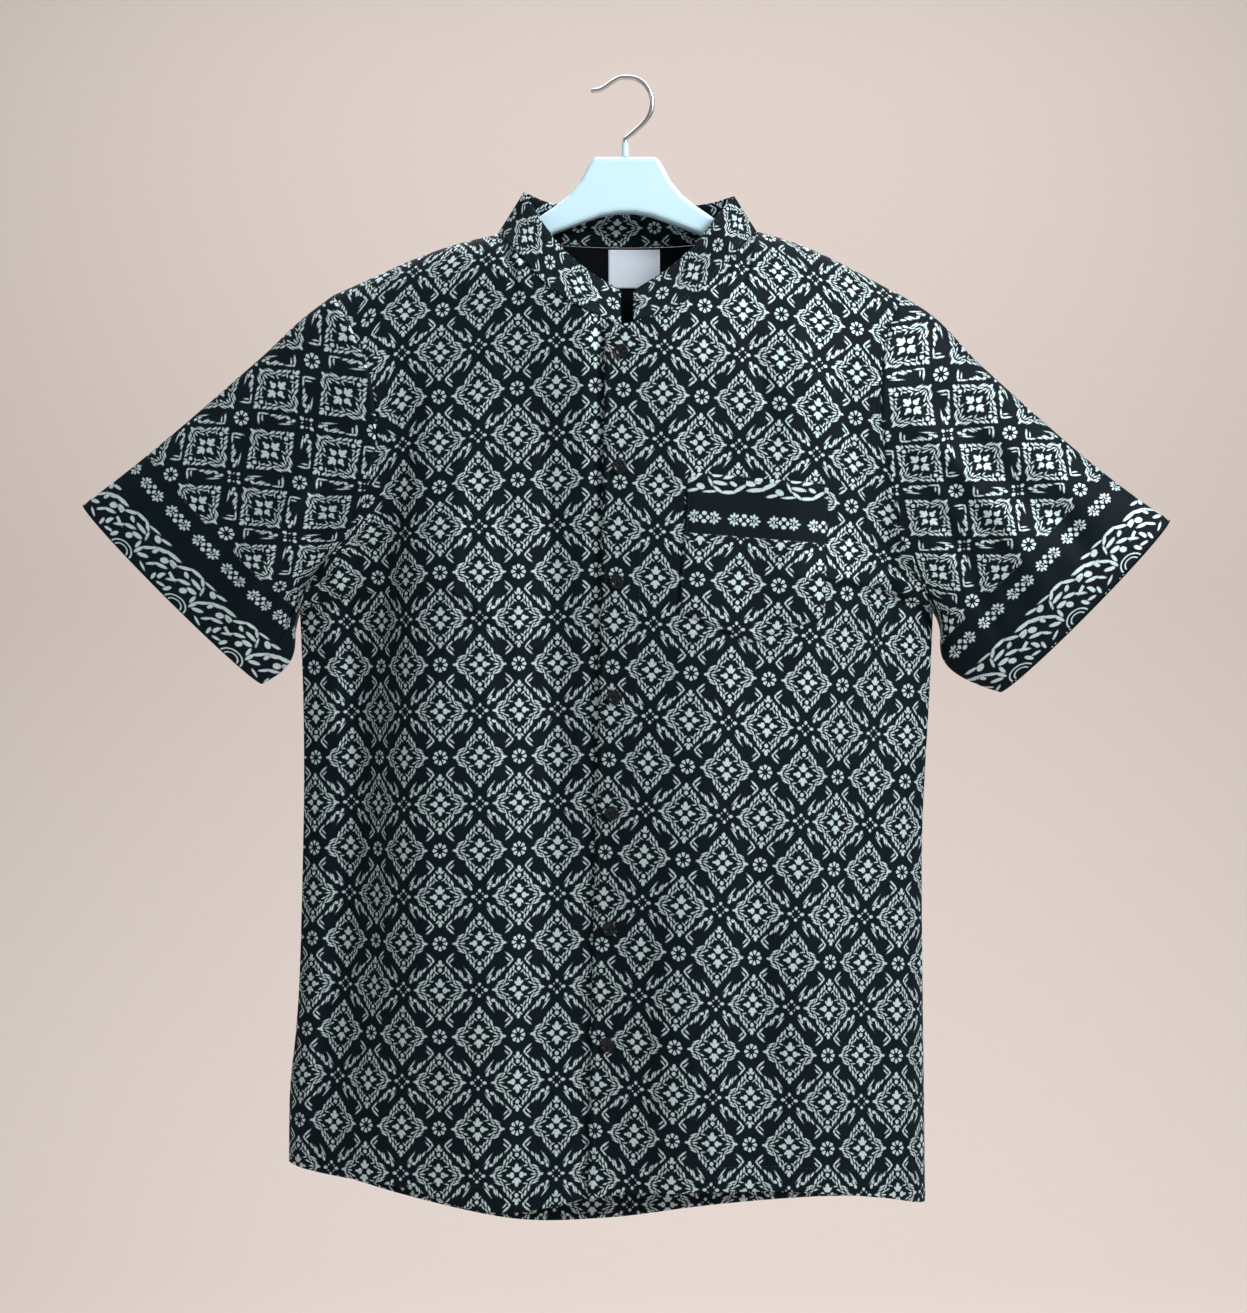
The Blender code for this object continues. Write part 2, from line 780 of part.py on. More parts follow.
def lay_on(panel, name, cells, wall, place_of, material):
    """Lay a small piece on a panel; `place_of` gives its places by shares across and up."""
    tree = surface_of(panel)
    rows = []
    for row in range(cells + 1):
        line = []
        for column in range(cells + 1):
            point, normal = point_on(tree, place_of(column / cells, row / cells))
            line.append(point + normal * (LIE_GAP + wall))
        rows.append(line)
    sheet = Sheet(name, rows, 1, lambda row, column: wall)
    sew([sheet])
    sheet.make(material)


def pocket_place(across, up):
    """Give a place on the pocket, whose lower edge is pointed."""
    high = Vector(POCKET_TOP[0]).lerp(Vector(POCKET_TOP[1]), across)
    return Place(*pocket_bottom(across).lerp(high, up))


def pocket_bottom(across):
    """Give the front-view place on the pocket's pointed lower edge."""
    if across < 0.5:
        return Vector(POCKET_BOTTOM[0]).lerp(Vector(POCKET_POINT), across * 2)
    return Vector(POCKET_POINT).lerp(Vector(POCKET_BOTTOM[1]), across * 2 - 1)


def label_place(across, up):
    """Give a place on the label, inside the back under the collar's seam."""
    x = LABEL[0].x + (LABEL[1].x - LABEL[0].x) * across
    return Place(x, LABEL[1].z + (LABEL[0].z - LABEL[1].z) * up)


def make_buttons(panel, material):
    """Set the buttons down the left front, each square to the cloth under it."""
    tree = surface_of(panel)
    for index in range(BUTTON_COUNT):
        z = BUTTON_FIRST_Z - BUTTON_PITCH * index
        seat, normal = point_on(tree, Place(lap_edge_x(z) + BUTTON_FROM_EDGE, z))
        mesh = bmesh.new()
        bmesh.ops.create_cone(
            mesh, cap_ends=True, segments=BUTTON_SIDES, radius1=BUTTON_RADIUS * MM,
            radius2=BUTTON_RADIUS * MM, depth=BUTTON_THICK * MM,
        )
        button = finish(f"button_{index + 1}", mesh, material)
        centre = seat + normal * (LIE_GAP + BUTTON_THICK / 2)
        turn = Vector((0, 0, 1)).rotation_difference(normal).to_matrix().to_4x4()
        button.matrix_world = Matrix.Translation(centre * MM) @ turn
        bevel = button.modifiers.new("rim", "BEVEL")
        bevel.width = BUTTON_BEVEL * MM
        bevel.segments = 1


def arm_top(neck, shoulder, share):
    """Give a place on the hanger's arm, under a share of the shoulder seam."""
    point = shoulder_point(neck, shoulder, 1 - share)
    return Vector((point.x, 0, point.z - HANGER_DROP))


def beside_middle(places, side):
    """Set places out to one side (-1 or 1) of the hanger's middle."""
    return [Vector((HANGER_MIDDLE_X + side * place.x, 0, place.z)) for place in places]


def hanger_outline():
    """Give the hanger's outline in its plane, anticlockwise from the right arm's end."""
    outline = []
    for side, neck, shoulder in ((-1, NECK_RIGHT, SHOULDER_RIGHT), (1, NECK_LEFT, SHOULDER_LEFT)):
        upper = [arm_top(neck, shoulder, share) for share in HANGER_ARM_SHARES]
        tip = arm_top(neck, shoulder, HANGER_TIP_SHARE) - Vector((0, 0, HANGER_TIP_DROP))
        under_tip = tip - Vector((0, 0, HANGER_TIP_HEIGHT))
        lower = [point - Vector((0, 0, HANGER_ARM_HEIGHT)) for point in upper[:-1]]
        lower.append(upper[-1] - Vector((0, 0, HANGER_ARM_END)))
        edge = beside_middle(HANGER_TOP, side) + upper + [tip, under_tip] + lower[::-1]
        edge += beside_middle(HANGER_ARCH, side)
        outline += edge if side == -1 else edge[::-1]
    return outline


def make_hanger(material):
    """Build the hanger's body as a plate with rounded rims."""
    mesh = bmesh.new()
    half = HANGER_THICK / 2
    plate = mesh.faces.new([mesh.verts.new(Vector((p.x, -half, p.z)) * MM) for p in hanger_outline()])
    pushed = bmesh.ops.extrude_face_region(mesh, geom=[plate])
    moved = [item for item in pushed["geom"] if isinstance(item, bmesh.types.BMVert)]
    bmesh.ops.translate(mesh, verts=moved, vec=Vector((0, HANGER_THICK * MM, 0)))
    bmesh.ops.recalc_face_normals(mesh, faces=mesh.faces)
    body = finish("hanger_body", mesh, material)
    bevel = body.modifiers.new("rims", "BEVEL")
    bevel.width = HANGER_BEVEL * MM
    bevel.segments = 3
    bevel.limit_method = "ANGLE"
    bevel.angle_limit = math.radians(HANGER_BEVEL_ANGLE)


def make_ferrule(material):
    """Build the short sleeve that holds the hook's wire on the hanger."""
    mesh = bmesh.new()
    height = FERRULE_TOP - FERRULE_BOTTOM
    bmesh.ops.create_cone(
        mesh, cap_ends=True, segments=16, radius1=FERRULE_RADIUS * MM,
        radius2=FERRULE_RADIUS * MM, depth=height * MM,
    )
    ferrule = finish("hanger_ferrule", mesh, material)
    ferrule.location = Vector((HOOK[0].x, 0, FERRULE_BOTTOM + height / 2)) * MM


def make_hook(material):
    """Bend the hook's wire along its middle line."""
    line = flat_line(HOOK)
    curve = bpy.data.curves.new("hanger_hook", "CURVE")
    curve.dimensions = "3D"
    curve.bevel_depth = HOOK_WIRE / 2 * MM
    curve.bevel_resolution = 2
    curve.use_fill_caps = True
    spline = curve.splines.new("POLY")
    spline.points.add(HOOK_POINTS - 1)
    for index, point in enumerate(spline.points):
        point.co = (*(line.at(index / (HOOK_POINTS - 1)) * MM), 1)
    curve.materials.append(material)
    hook = bpy.data.objects.new("hanger_hook", curve)
    bpy.context.scene.collection.objects.link(hook)


def body_wall(row, column):
    """Wall of a body panel, thicker where its hem is turned up."""
    return WALL + (HEM_EXTRA if row <= 1 else 0)


def sleeve_wall(row, column):
    """Wall of a sleeve, thicker at its turned-up hem."""
    return WALL + (HEM_EXTRA if row >= SLEEVE_COLUMNS else 0)


def collar_wall(row, column):
    """Wall of the collar, the same all over."""
    return COLLAR_WALL


def near_underarm(row, column):
    """Say whether a point of a sleeve's ring is on the armhole beside the underarm."""
    return row == 0 and min(column, 2 * ARM_ROWS - column) <= UNDERARM_POINTS


def everywhere(row, column):
    """Say of every point that its sheet keeps its own normal there."""
    return True


def no_sink(point):
    """The left front lies on top, so no point of it sinks."""
    return 0.0


def make_shirt(cloth):
    """Build the sewn pieces and give them by name."""
    hem = flat_line(HEM_FRONT)
    edge = flat_line(PLACKET)
    under_edge = flat_line([Place(place.x + LAP, place.z) for place in PLACKET])
    cut = hem_share(hem, PLACKET[0].x)
    under_cut = hem_share(hem, PLACKET[0].x + LAP)
    right = front_grid(
        NECK_RIGHT, SHOULDER_RIGHT, COLLAR_RIGHT, NECK_END_RIGHT, SIDE_RIGHT, ARMHOLE_RIGHT,
        (0, under_cut), under_edge, SIDE_TURN_RIGHT, lap_sink,
    )
    left = front_grid(
        NECK_LEFT, SHOULDER_LEFT, COLLAR_LEFT, NECK_END_LEFT, SIDE_LEFT, ARMHOLE_LEFT,
        (1, cut), edge, SIDE_TURN_LEFT, no_sink,
    )
    back = back_grid()
    right_ring = sleeve_ring(
        [line[0] for line in right[BODY_ROWS:]], [line[0] for line in back[BODY_ROWS:]]
    )
    left_ring = sleeve_ring(
        [line[0] for line in left[BODY_ROWS:]], [line[-1] for line in back[BODY_ROWS:]]
    )
    right_sleeve = sleeve_grid(right_ring, HEM_RIGHT)
    left_sleeve = sleeve_grid(left_ring, HEM_LEFT)
    sheets = [
        Sheet("front_right", right, 1, body_wall),
        Sheet("front_left", left, -1, body_wall),
        Sheet("back", back, -1, body_wall),
        Sheet("sleeve_right", right_sleeve, 1, sleeve_wall, True, near_underarm, SEAM_GAP),
        Sheet("sleeve_left", left_sleeve, -1, sleeve_wall, True, near_underarm, SEAM_GAP),
        Sheet(
            "collar", collar_grid(right, back, left), -1, collar_wall,
            own=everywhere, rise=COLLAR_RISE,
        ),
    ]
    sew(sheets)
    return {sheet.name: sheet.make(cloth) for sheet in sheets}


def hem_share(hem, x):
    """Find the share of the front hem's length at which it reaches an X."""
    low = 0.0
    high = 1.0
    for _ in range(40):
        middle = (low + high) / 2
        if hem.at(middle).x < x:
            low = middle
        else:
            high = middle
    return low


def main():
    """Clear the scene and build every piece."""
    for item in list(bpy.data.objects):
        bpy.data.objects.remove(item)
    cloth = make_material("patterned_cloth", (0.05, 0.06, 0.07), 0.7)
    label_cloth = make_material("label_cloth", (0.8, 0.82, 0.85), 0.8)
    button_plastic = make_material("button_plastic", (0.03, 0.035, 0.04), 0.3)
    white_plastic = make_material("white_plastic", (0.75, 0.85, 0.92), 0.4)
    wire = make_material("hook_wire", (0.6, 0.6, 0.62), 0.3, 1.0)
    pieces = make_shirt(cloth)
    lay_on(pieces["front_left"], "pocket", POCKET_CELLS, POCKET_WALL, pocket_place, cloth)
    make_buttons(pieces["front_left"], button_plastic)
    lay_on(pieces["back"], "label", LABEL_CELLS, LABEL_WALL, label_place, label_cloth)
    make_hanger(white_plastic)
    make_ferrule(white_plastic)
    make_hook(wire)


if __name__ == "__main__":
    main()
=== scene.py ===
"""Finished look of a mandarin collar shirt, buttoned up and hanging on its white hanger.

Shapes are worked out in millimetres and written in metres. X runs to the
viewer's right, Y away from the viewer and Z up, and the origin is the inner
top of the hanger's hook. "Right" and "left" in names are the wearer's.
"""

from __future__ import annotations

import bisect
import json
import logging
import math
from collections.abc import Callable, Iterator, Sequence
from dataclasses import dataclass, field
from enum import Enum
from functools import partialmethod
from typing import Any, NamedTuple

import bmesh
import bpy
from mathutils import Matrix, Vector
from mathutils.bvhtree import BVHTree
from mathutils.kdtree import KDTree

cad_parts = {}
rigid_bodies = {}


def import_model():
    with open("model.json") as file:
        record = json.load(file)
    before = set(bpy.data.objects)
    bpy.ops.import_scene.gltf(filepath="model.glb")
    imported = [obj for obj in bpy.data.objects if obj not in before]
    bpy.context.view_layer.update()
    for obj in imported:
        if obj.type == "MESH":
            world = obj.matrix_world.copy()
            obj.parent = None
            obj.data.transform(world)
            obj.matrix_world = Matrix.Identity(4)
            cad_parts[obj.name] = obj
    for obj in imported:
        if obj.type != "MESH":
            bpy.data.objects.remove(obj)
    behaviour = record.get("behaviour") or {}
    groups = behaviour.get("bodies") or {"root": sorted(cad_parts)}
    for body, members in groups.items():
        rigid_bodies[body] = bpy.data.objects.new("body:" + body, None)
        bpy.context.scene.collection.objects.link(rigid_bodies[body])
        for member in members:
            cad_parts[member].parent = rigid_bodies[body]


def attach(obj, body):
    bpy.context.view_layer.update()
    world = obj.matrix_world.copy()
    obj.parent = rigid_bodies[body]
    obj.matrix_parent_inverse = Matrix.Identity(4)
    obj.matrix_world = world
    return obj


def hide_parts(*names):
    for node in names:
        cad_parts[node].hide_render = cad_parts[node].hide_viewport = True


LOG = logging.getLogger("shirt")
MM = 0.001
Corner = tuple[int, int]
Triple = tuple[float, float, float]
Points = Sequence[Vector]
Outline = tuple["Place", ...]
Grid = list[list[Vector]]
Places = list[list[tuple[float, float]]]
Material = bpy.types.Material
Object = bpy.types.Object
Socket = bpy.types.NodeSocket


class Side(Enum):
    """One of the wearer's sides, as the sign of its X."""

    RIGHT = -1
    LEFT = 1


class Place(NamedTuple):
    """A place on the front view, in millimetres."""

    x: float
    z: float

    @property
    def on_plane(self) -> Vector:
        """Give the same place in the hanger's plane."""
        return Vector((self.x, 0, self.z))


class Repeat(NamedTuple):
    """Where a repeat of the weave starts, and how its rows fall and its columns lean, in degrees."""

    x: float
    z: float
    fall: float = 0.0
    lean: float = 0.0

    def flat(self, x: float, z: float) -> tuple[float, float]:
        """Give a place on the flat cloth for one on the front view.

        Args:
            x: the place's X.
            z: its Z.

        Returns:
            The place across and up the flat cloth.
        """
        fall, lean = math.radians(self.fall), math.radians(self.lean)
        x -= self.x
        z -= self.z
        whole = math.cos(fall - lean)
        return (
            (x * math.cos(lean) - z * math.sin(lean)) / whole,
            (x * math.sin(fall) + z * math.cos(fall)) / whole,
        )


class Depth(NamedTuple):
    """How far the middle of the front and of the back stand out at a height."""

    z: float
    front: float
    back: float


class CollarRow(NamedTuple):
    """A point of the collar's seam on the neck and the one above it on its edge."""

    seam: Triple
    edge: Triple


class Fold(NamedTuple):
    """A trough (depth above 0) or a ridge along a line, bowed sideways by `bow`."""

    x0: float
    z0: float
    x1: float
    z1: float
    width: float
    depth: float
    bow: float = 0.0


class SleeveHem(NamedTuple):
    """A sleeve's flattened opening, how its halves bow and how its edges sag."""

    top: Place
    bottom: Place
    front: float
    back: float
    bow: float
    back_bow: float
    sag: float
    top_sag: float
    bump: float


def table(kind: Callable[..., Any], *rows: Sequence[Any]) -> tuple[Any, ...]:
    """Make a row of the given kind from each group of values."""
    return tuple(kind(*row) for row in rows)


def outline(*rows: Sequence[float]) -> Outline:
    """Make places from pairs of numbers."""
    return table(Place, *rows)


FOLD_END_POWER = 0.7
# How far in from the cloth's edge its woven border ends and the plain band before the repeat starts
BORDER_WIDTH = 59.5
YARN_SCALE = 1300.0
FRONT_FOLDS = table(
    Fold,
    (-188, -300, -236, -900, 26, 8), (-118, -190, -112, -760, 40, -5), (-60, -330, -66, -930, 22, 3.5),
    (-14, -560, -17, -960, 28, 5.5), (40, -640, 34, -940, 26, -4), (196, -250, 206, -560, 16, 5),
    (120, -470, 150, -920, 34, -3.5), (-170, -185, -330, -420, 20, -7), (-225, -250, -262, -470, 12, 8),
    (235, -300, 330, -440, 20, 5),
)
BACK_FOLDS = table(
    Fold,
    (-150, -230, -165, -930, 34, 5), (-20, -260, -30, -940, 40, -3), (110, -240, 120, -930, 36, 4.5),
    (-230, -260, -340, -400, 22, 4), (215, -260, 330, -400, 22, 4),
)
FRONT_CREASES = table(
    Fold,
    (-150, -186, -156, -800, 35, -13, 8), (-186, -300, -240, -868, 24, 8, 8),
    (-60, -222, -56, -905, 32, 9, -4), (-112, -660, -124, -900, 26, -5, 5),
    (-236, -560, -252, -868, 14, -4, 4), (62, -300, 58, -905, 46, -9, 4),
    (100, -560, 92, -880, 22, 3.5, -6), (176, -420, 194, -868, 26, 6.5, 6),
    (216, -620, 212, -872, 14, -4, -4), (128, -190, 150, -560, 34, -6.5, 6),
    (-150, -232, -196, -470, 9, 2.6, 8), (-128, -262, -150, -520, 7, -1.8, -5),
    (-95, -300, -88, -610, 8, 1.9, 6), (-74, -250, -60, -430, 6, 1.3, -4),
    (-214, -470, -232, -690, 8, -2.4, 6), (-196, -560, -214, -800, 7, 2.2, -7),
    (-150, -600, -168, -872, 9, -1.9, 6), (-128, -690, -131, -885, 7, 2.1, -4),
    (-84, -620, -92, -890, 8, -1.9, 5), (-40, -640, -46, -880, 6, 1.8, 3),
    (-236, -700, -246, -862, 6, 1.9, 3), (-238, -405, -214, -540, 7, 2.4, -9),
    (-250, -440, -222, -610, 6, -1.6, -8), (-205, -335, -222, -440, 6, 2.1, 4),
    (-120, -170, -165, -245, 8, 1.6, 5), (-90, -180, -122, -300, 7, -1.4, 4),
    (18, -590, 12, -862, 7, 1.9, 4), (64, -700, 60, -868, 8, -1.8, -4), (96, -560, 110, -800, 8, 1.6, 6),
    (160, -620, 168, -872, 8, 2.1, -5), (186, -480, 196, -740, 7, -1.6, 5),
    (212, -430, 206, -600, 6, 2.1, -6), (224, -600, 222, -850, 6, 1.6, 4),
    (206, -330, 192, -470, 6, 1.9, -6), (168, -210, 182, -330, 8, 1.6, 6),
    (120, -170, 150, -262, 8, -1.4, 5), (84, -190, 112, -300, 7, 1.3, -4), (34, -240, 40, -330, 7, -1, 3),
    (226, -420, 196, -500, 5, 1.9, 5), (-246, -520, -250, -700, 5, 1.4, 4),
)
BACK_CREASES = table(
    Fold,
    (-190, -420, -214, -700, 8, 2.2, 7), (-176, -520, -150, -840, 9, -1.8, -6),
    (-120, -300, -128, -610, 8, 1.7, 5), (-92, -480, -84, -880, 8, -2, 6),
    (-60, -220, -66, -400, 7, 1.4, -4), (-40, -600, -50, -895, 8, 2.1, -6), (8, -330, 14, -640, 8, -1.5, 5),
    (30, -560, 26, -890, 7, 2, -5), (62, -240, 74, -480, 8, 1.5, 5), (84, -600, 92, -884, 9, -1.8, -5),
    (134, -380, 142, -690, 8, 1.8, 6), (158, -560, 172, -878, 7, -1.7, -4),
    (196, -420, 190, -640, 7, 2.1, -7), (212, -520, 218, -820, 6, -1.5, 4),
    (-222, -420, -196, -560, 6, 2, 7), (-236, -560, -240, -790, 6, -1.5, 4),
    (-80, -190, -130, -270, 8, 1.4, 4), (90, -190, 140, -275, 8, -1.4, 5),
)
SLEEVE_CREASES = table(
    Fold,
    (-228, -222, -396, -352, 13, -5.6, 8), (-226, -262, -350, -408, 11, 5, -6),
    (-240, -318, -310, -442, 11, -4.5, 6), (218, -226, 372, -378, 13, 5, 8),
    (222, -268, 330, -424, 12, -5, -6), (236, -200, 410, -322, 13, -4.5, 7),
    (-214, -240, -372, -352, 8, 2.5, 9), (-222, -275, -318, -398, 7, -1.8, -8),
    (-236, -330, -300, -440, 7, 2.2, 6), (-250, -212, -404, -300, 9, 2, -7),
    (-262, -380, -300, -452, 5, 1.7, 4), (-300, -300, -352, -395, 7, -1.7, 5),
    (212, -238, 352, -372, 9, 2.4, 8), (214, -282, 316, -412, 7, -1.8, 7),
    (226, -330, 290, -440, 7, 2.1, -5), (238, -208, 396, -318, 8, -1.7, 8),
    (262, -390, 306, -460, 5, 1.8, 4), (300, -290, 362, -396, 8, 1.7, -6),
)


class SmoothLine:
    """A smooth curve through a few points, read by the share of its length."""

    STEPS = 24

    def __init__(self, points: Points) -> None:
        """Fit the curve.

        Args:
            points: what it goes through, in order.
        """
        ends = [points[0] * 2 - points[1], *points, points[-1] * 2 - points[-2]]
        self.points: list[Vector] = []
        for before, start, end, after in zip(ends, ends[1:], ends[2:], ends[3:]):
            pull_in = (end - before) / 2
            pull_out = (after - start) / 2
            for step in range(self.STEPS):
                self.points.append(hermite(start, pull_in, end, pull_out, step / self.STEPS))
        self.points.append(points[-1].copy())
        self.lengths = lengths_along(self.points)

    def at(self, share: float) -> Vector:
        """Read the curve.

        Args:
            share: 0 at its start and 1 at its end.

        Returns:
            The point at that share of the curve's length.
        """
        length = min(max(share, 0.0), 1.0) * self.lengths[-1]
        index = min(bisect.bisect_right(self.lengths, length), len(self.lengths) - 1)
        start = self.lengths[index - 1]
        part = (length - start) / (self.lengths[index] - start)
        return self.points[index - 1].lerp(self.points[index], part)


def lengths_along(points: Points) -> list[float]:
    """Give how far along a line each of its points lies.

    Args:
        points: the line's points.

    Returns:
        A length for each point, 0 at the first.
    """
    lengths = [0.0]
    for start, end in zip(points, points[1:]):
        lengths.append(lengths[-1] + (end - start).length)
    return lengths


def hermite(start: Vector, pull_in: Vector, end: Vector, pull_out: Vector, share: float) -> Vector:
    """Read a cubic between two points.

    Args:
        start: its first point.
        pull_in: the pull at the first point.
        end: its last point.
        pull_out: the pull at the last point.
        share: 0 at the start and 1 at the end.

    Returns:
        The point at that share.
    """
    square = share * share
    cube = square * share
    return (
        start * (2 * cube - 3 * square + 1)
        + pull_in * (cube - 2 * square + share)
        + end * (3 * square - 2 * cube)
        + pull_out * (cube - square)
    )


def flat_line(places: Sequence[Place]) -> SmoothLine:
    """Make a smooth line through places in the hanger's plane."""
    return SmoothLine([place.on_plane for place in places])


def flattened(points: Points) -> list[Vector]:
    """Drop points onto the hanger's plane."""
    return [Vector((point.x, 0, point.z)) for point in points]


def soft_step(share: float) -> float:
    """Ease from 0 to 1 as the share goes from 0 to 1."""
    share = min(max(share, 0.0), 1.0)
    return share * share * (3 - 2 * share)


def rounded(share: float, sharp: float, flat: float) -> float:
    """Rise steeply from 0 at the edge and level out at 1, like a flat tube's side."""
    return (1 - (1 - min(max(share, 0.0), 1.0)) ** sharp) ** (1 / flat)


def quarter_round(share: float) -> float:
    """Rise from 0 to 1 like a quarter of a circle."""
    return rounded(share, 2, 2)


def both_ends(index: float, count: float) -> float:
    """Give a share of the way whose steps draw together at both ends."""
    return (1 - math.cos(math.pi * index / count)) / 2


def one_end(index: float, count: float) -> float:
    """Give a share of the way whose steps draw together at the start."""
    return 1 - math.cos(math.pi / 2 * index / count)


def fold_depth(folds: Sequence[Fold], point: Vector) -> float:
    """Sum folds at a point of the front view.

    Args:
        folds: troughs and ridges.
        point: where they are read.

    Returns:
        How far the cloth lies back there, in millimetres.
    """
    total = 0.0
    for fold in folds:
        along_x = fold.x1 - fold.x0
        along_z = fold.z1 - fold.z0
        length = math.hypot(along_x, along_z)
        off_x = point.x - fold.x0
        off_z = point.z - fold.z0
        share = (off_x * along_x + off_z * along_z) / (length * length)
        if 0 < share < 1:
            swell = math.sin(math.pi * share)
            side = (off_x * along_z - off_z * along_x) / length - fold.bow * swell
            side /= fold.width
            if abs(side) < 3:
                total += fold.depth * swell ** FOLD_END_POWER * math.exp(-side * side)
    return total


@dataclass(frozen=True)
class GarmentShape:
    """The shirt's cut as it hangs: outlines, depths and the places of its seams."""

    fine: int = 7
    body_rows: int = 11
    arm_rows: int = 11
    front_columns: int = 16
    neck_column: int = 9
    collar_column: int = 15
    back_columns: int = 28
    back_neck: Corner = (9, 19)
    sleeve_columns: int = 8
    collar_rows: int = 12
    underarm_share: float = 0.6
    level_rows: float = 5.0
    neck_right: Place = Place(-104.7, -122.0)
    neck_left: Place = Place(100.0, -119.7)
    shoulder_right: Place = Place(-233.0, -169.3)
    shoulder_left: Place = Place(214.2, -170.1)
    armhole_front: float = 33.0
    armhole_back: float = 17.0
    front_roll: float = 120.0
    back_roll: float = 34.0
    neck_fade: float = 60.0
    turn_right: tuple[float, float] = (2.2, 1.8)
    turn_left: tuple[float, float] = (3.0, 2.0)
    turn_back: tuple[float, float] = (3.0, 1.8)
    side_fade: float = 0.08
    crease_fade: float = 0.06
    fade_rows: int = 2
    neck_end_fade: tuple[float, float] = (0.2, 1.5)
    hem_rows: tuple[float, ...] = (0.06, 0.36, 0.42, 0.48, 0.54)
    shoulder_arch: float = 5.0
    arch_power: float = 1.3
    arch_scale: float = 6.75
    edge_power: float = 6.0
    head_share: float = 0.13
    head_width: float = 0.12
    lap: float = 31.0
    lap_sink: float = 3.0
    lap_ramp: float = 12.0
    lap_flat: float = 4.0
    side_right: Outline = outline(
        (-268.5, -850.4), (-267.7, -795), (-263, -748), (-260, -700), (-257.5, -606), (-256.7, -543),
        (-257.5, -480), (-259.8, -418.9),
    )
    side_left: Outline = outline(
        (232.3, -881), (231.5, -795), (230.3, -700), (229.9, -606), (232.4, -543), (236, -480),
        (238.6, -419.7),
    )
    armhole_right: Outline = outline(
        (-259.8, -418.9), (-244, -387), (-215.5, -356), (-200.7, -316), (-196, -279), (-200, -240),
        (-213, -206), (-233, -169.3),
    )
    armhole_left: Outline = outline(
        (238.6, -419.7), (225.6, -395), (211, -366), (200, -312), (194, -268), (194.5, -234), (200, -203),
        (214.2, -170.1),
    )
    hem_front: Outline = outline(
        (-268.5, -850.4), (-236, -855), (-172, -860), (-125, -873), (-95, -876.5), (-60, -872), (-32, -866),
        (22.6, -859.6), (118, -860.5), (190, -869), (232.3, -881),
    )
    hem_back: Outline = outline(
        (-268.5, -850.4), (-240, -862), (-180, -882), (-95, -902), (-20, -902), (60, -892), (140, -884),
        (232.3, -881),
    )
    placket: Outline = outline(
        (-32, -866), (-31.2, -820), (-29, -695), (-25, -520), (-21, -330), (-19, -202),
    )
    depths: tuple[Depth, ...] = table(
        Depth,
        (-900, 63, 22), (-760, 61, 24), (-600, 57, 25), (-419, 53, 25), (-300, 50, 25), (-200, 50, 25),
        (-120, 50, 24),
    )
    collar_right: tuple[CollarRow, ...] = table(
        CollarRow,
        ((-104.7, 0, -122), (-83.4, -3, -88.9)), ((-91.6, -24, -137), (-70.2, -16, -112)),
        ((-82, -30, -148.3), (-62, -20, -124)), ((-65.4, -38, -168.3), (-50.5, -24, -138.6)),
        ((-38.4, -45, -186.4), (-29.5, -28, -157)), ((-7, -48, -200.7), (-7, -30, -168.3)),
    )
    collar_left: tuple[CollarRow, ...] = table(
        CollarRow,
        ((100, 0, -119.7), (81.9, -3, -92)), ((86.8, -24, -136.2), (67, -16, -110.5)),
        ((75.6, -31, -149.3), (60, -19, -121)), ((59.8, -39, -167.8), (46, -22.5, -138)),
        ((32, -46, -188.2), (24, -27.5, -157)), ((2.2, -48, -198.4), (2.2, -30, -168.4)),
    )
    collar_back: tuple[CollarRow, ...] = table(
        CollarRow,
        ((-104.7, 0, -122), (-83.4, -3, -88.9)), ((-80, 14, -125), (-64, 9, -94.5)),
        ((-45, 21, -127), (-38, 15, -96.5)), ((-2.5, 23, -127.8), (-1, 17, -97)),
        ((40, 21, -127), (36, 15, -96.5)), ((75, 14, -124), (62, 9, -95.3)),
        ((100, 0, -119.7), (81.9, -3, -92)),
    )
    neck_end_right: Triple = (12.0, -47.5, -202.5)
    neck_end_left: Triple = (-19.0, -48.5, -202.0)
    sleeve_right: SleeveHem = SleeveHem(
        Place(-430.7, -334.6), Place(-289.8, -475.6), 19, 13, 3, 4.5, 13, 3.5, 3
    )
    sleeve_left: SleeveHem = SleeveHem(
        Place(425.2, -346.5), Place(291.3, -481.9), 19, 13, 1.5, 8, 24, 7, 7
    )

    def rows(self) -> list[float]:
        """Number the fine rows of a body piece in coarse rows, hem first."""
        plain = [step / self.fine for step in range((self.body_rows + self.arm_rows) * self.fine + 1)]
        return sorted({*plain, *self.hem_rows})

    def share_of_row(self, row: float) -> float:
        """Give a row's share of the garment's height.

        Args:
            row: the row, in coarse rows.

        Returns:
            0 at the hem and 1 at the shoulders.
        """
        if row < self.body_rows:
            return self.underarm_share * row / self.body_rows
        arm = both_ends(row - self.body_rows, self.arm_rows)
        return self.underarm_share + (1 - self.underarm_share) * arm

    def neck(self, side: Side) -> Vector:
        """Give the point where a side's shoulder seam meets the collar."""
        return (self.neck_right if side is Side.RIGHT else self.neck_left).on_plane

    def shoulder(self, side: Side) -> Vector:
        """Give the point where a side's shoulder seam meets the sleeve."""
        return (self.shoulder_right if side is Side.RIGHT else self.shoulder_left).on_plane

    def shoulder_point(self, side: Side, share: float) -> Vector:
        """Read a side's arched shoulder seam.

        Args:
            side: the wearer's side.
            share: 0 at the sleeve and 1 at the collar.

        Returns:
            The point at that share of the seam.
        """
        point = self.shoulder(side).lerp(self.neck(side), share)
        point.z += self.shoulder_arch * math.sin(math.pi * share ** self.arch_power)
        return point

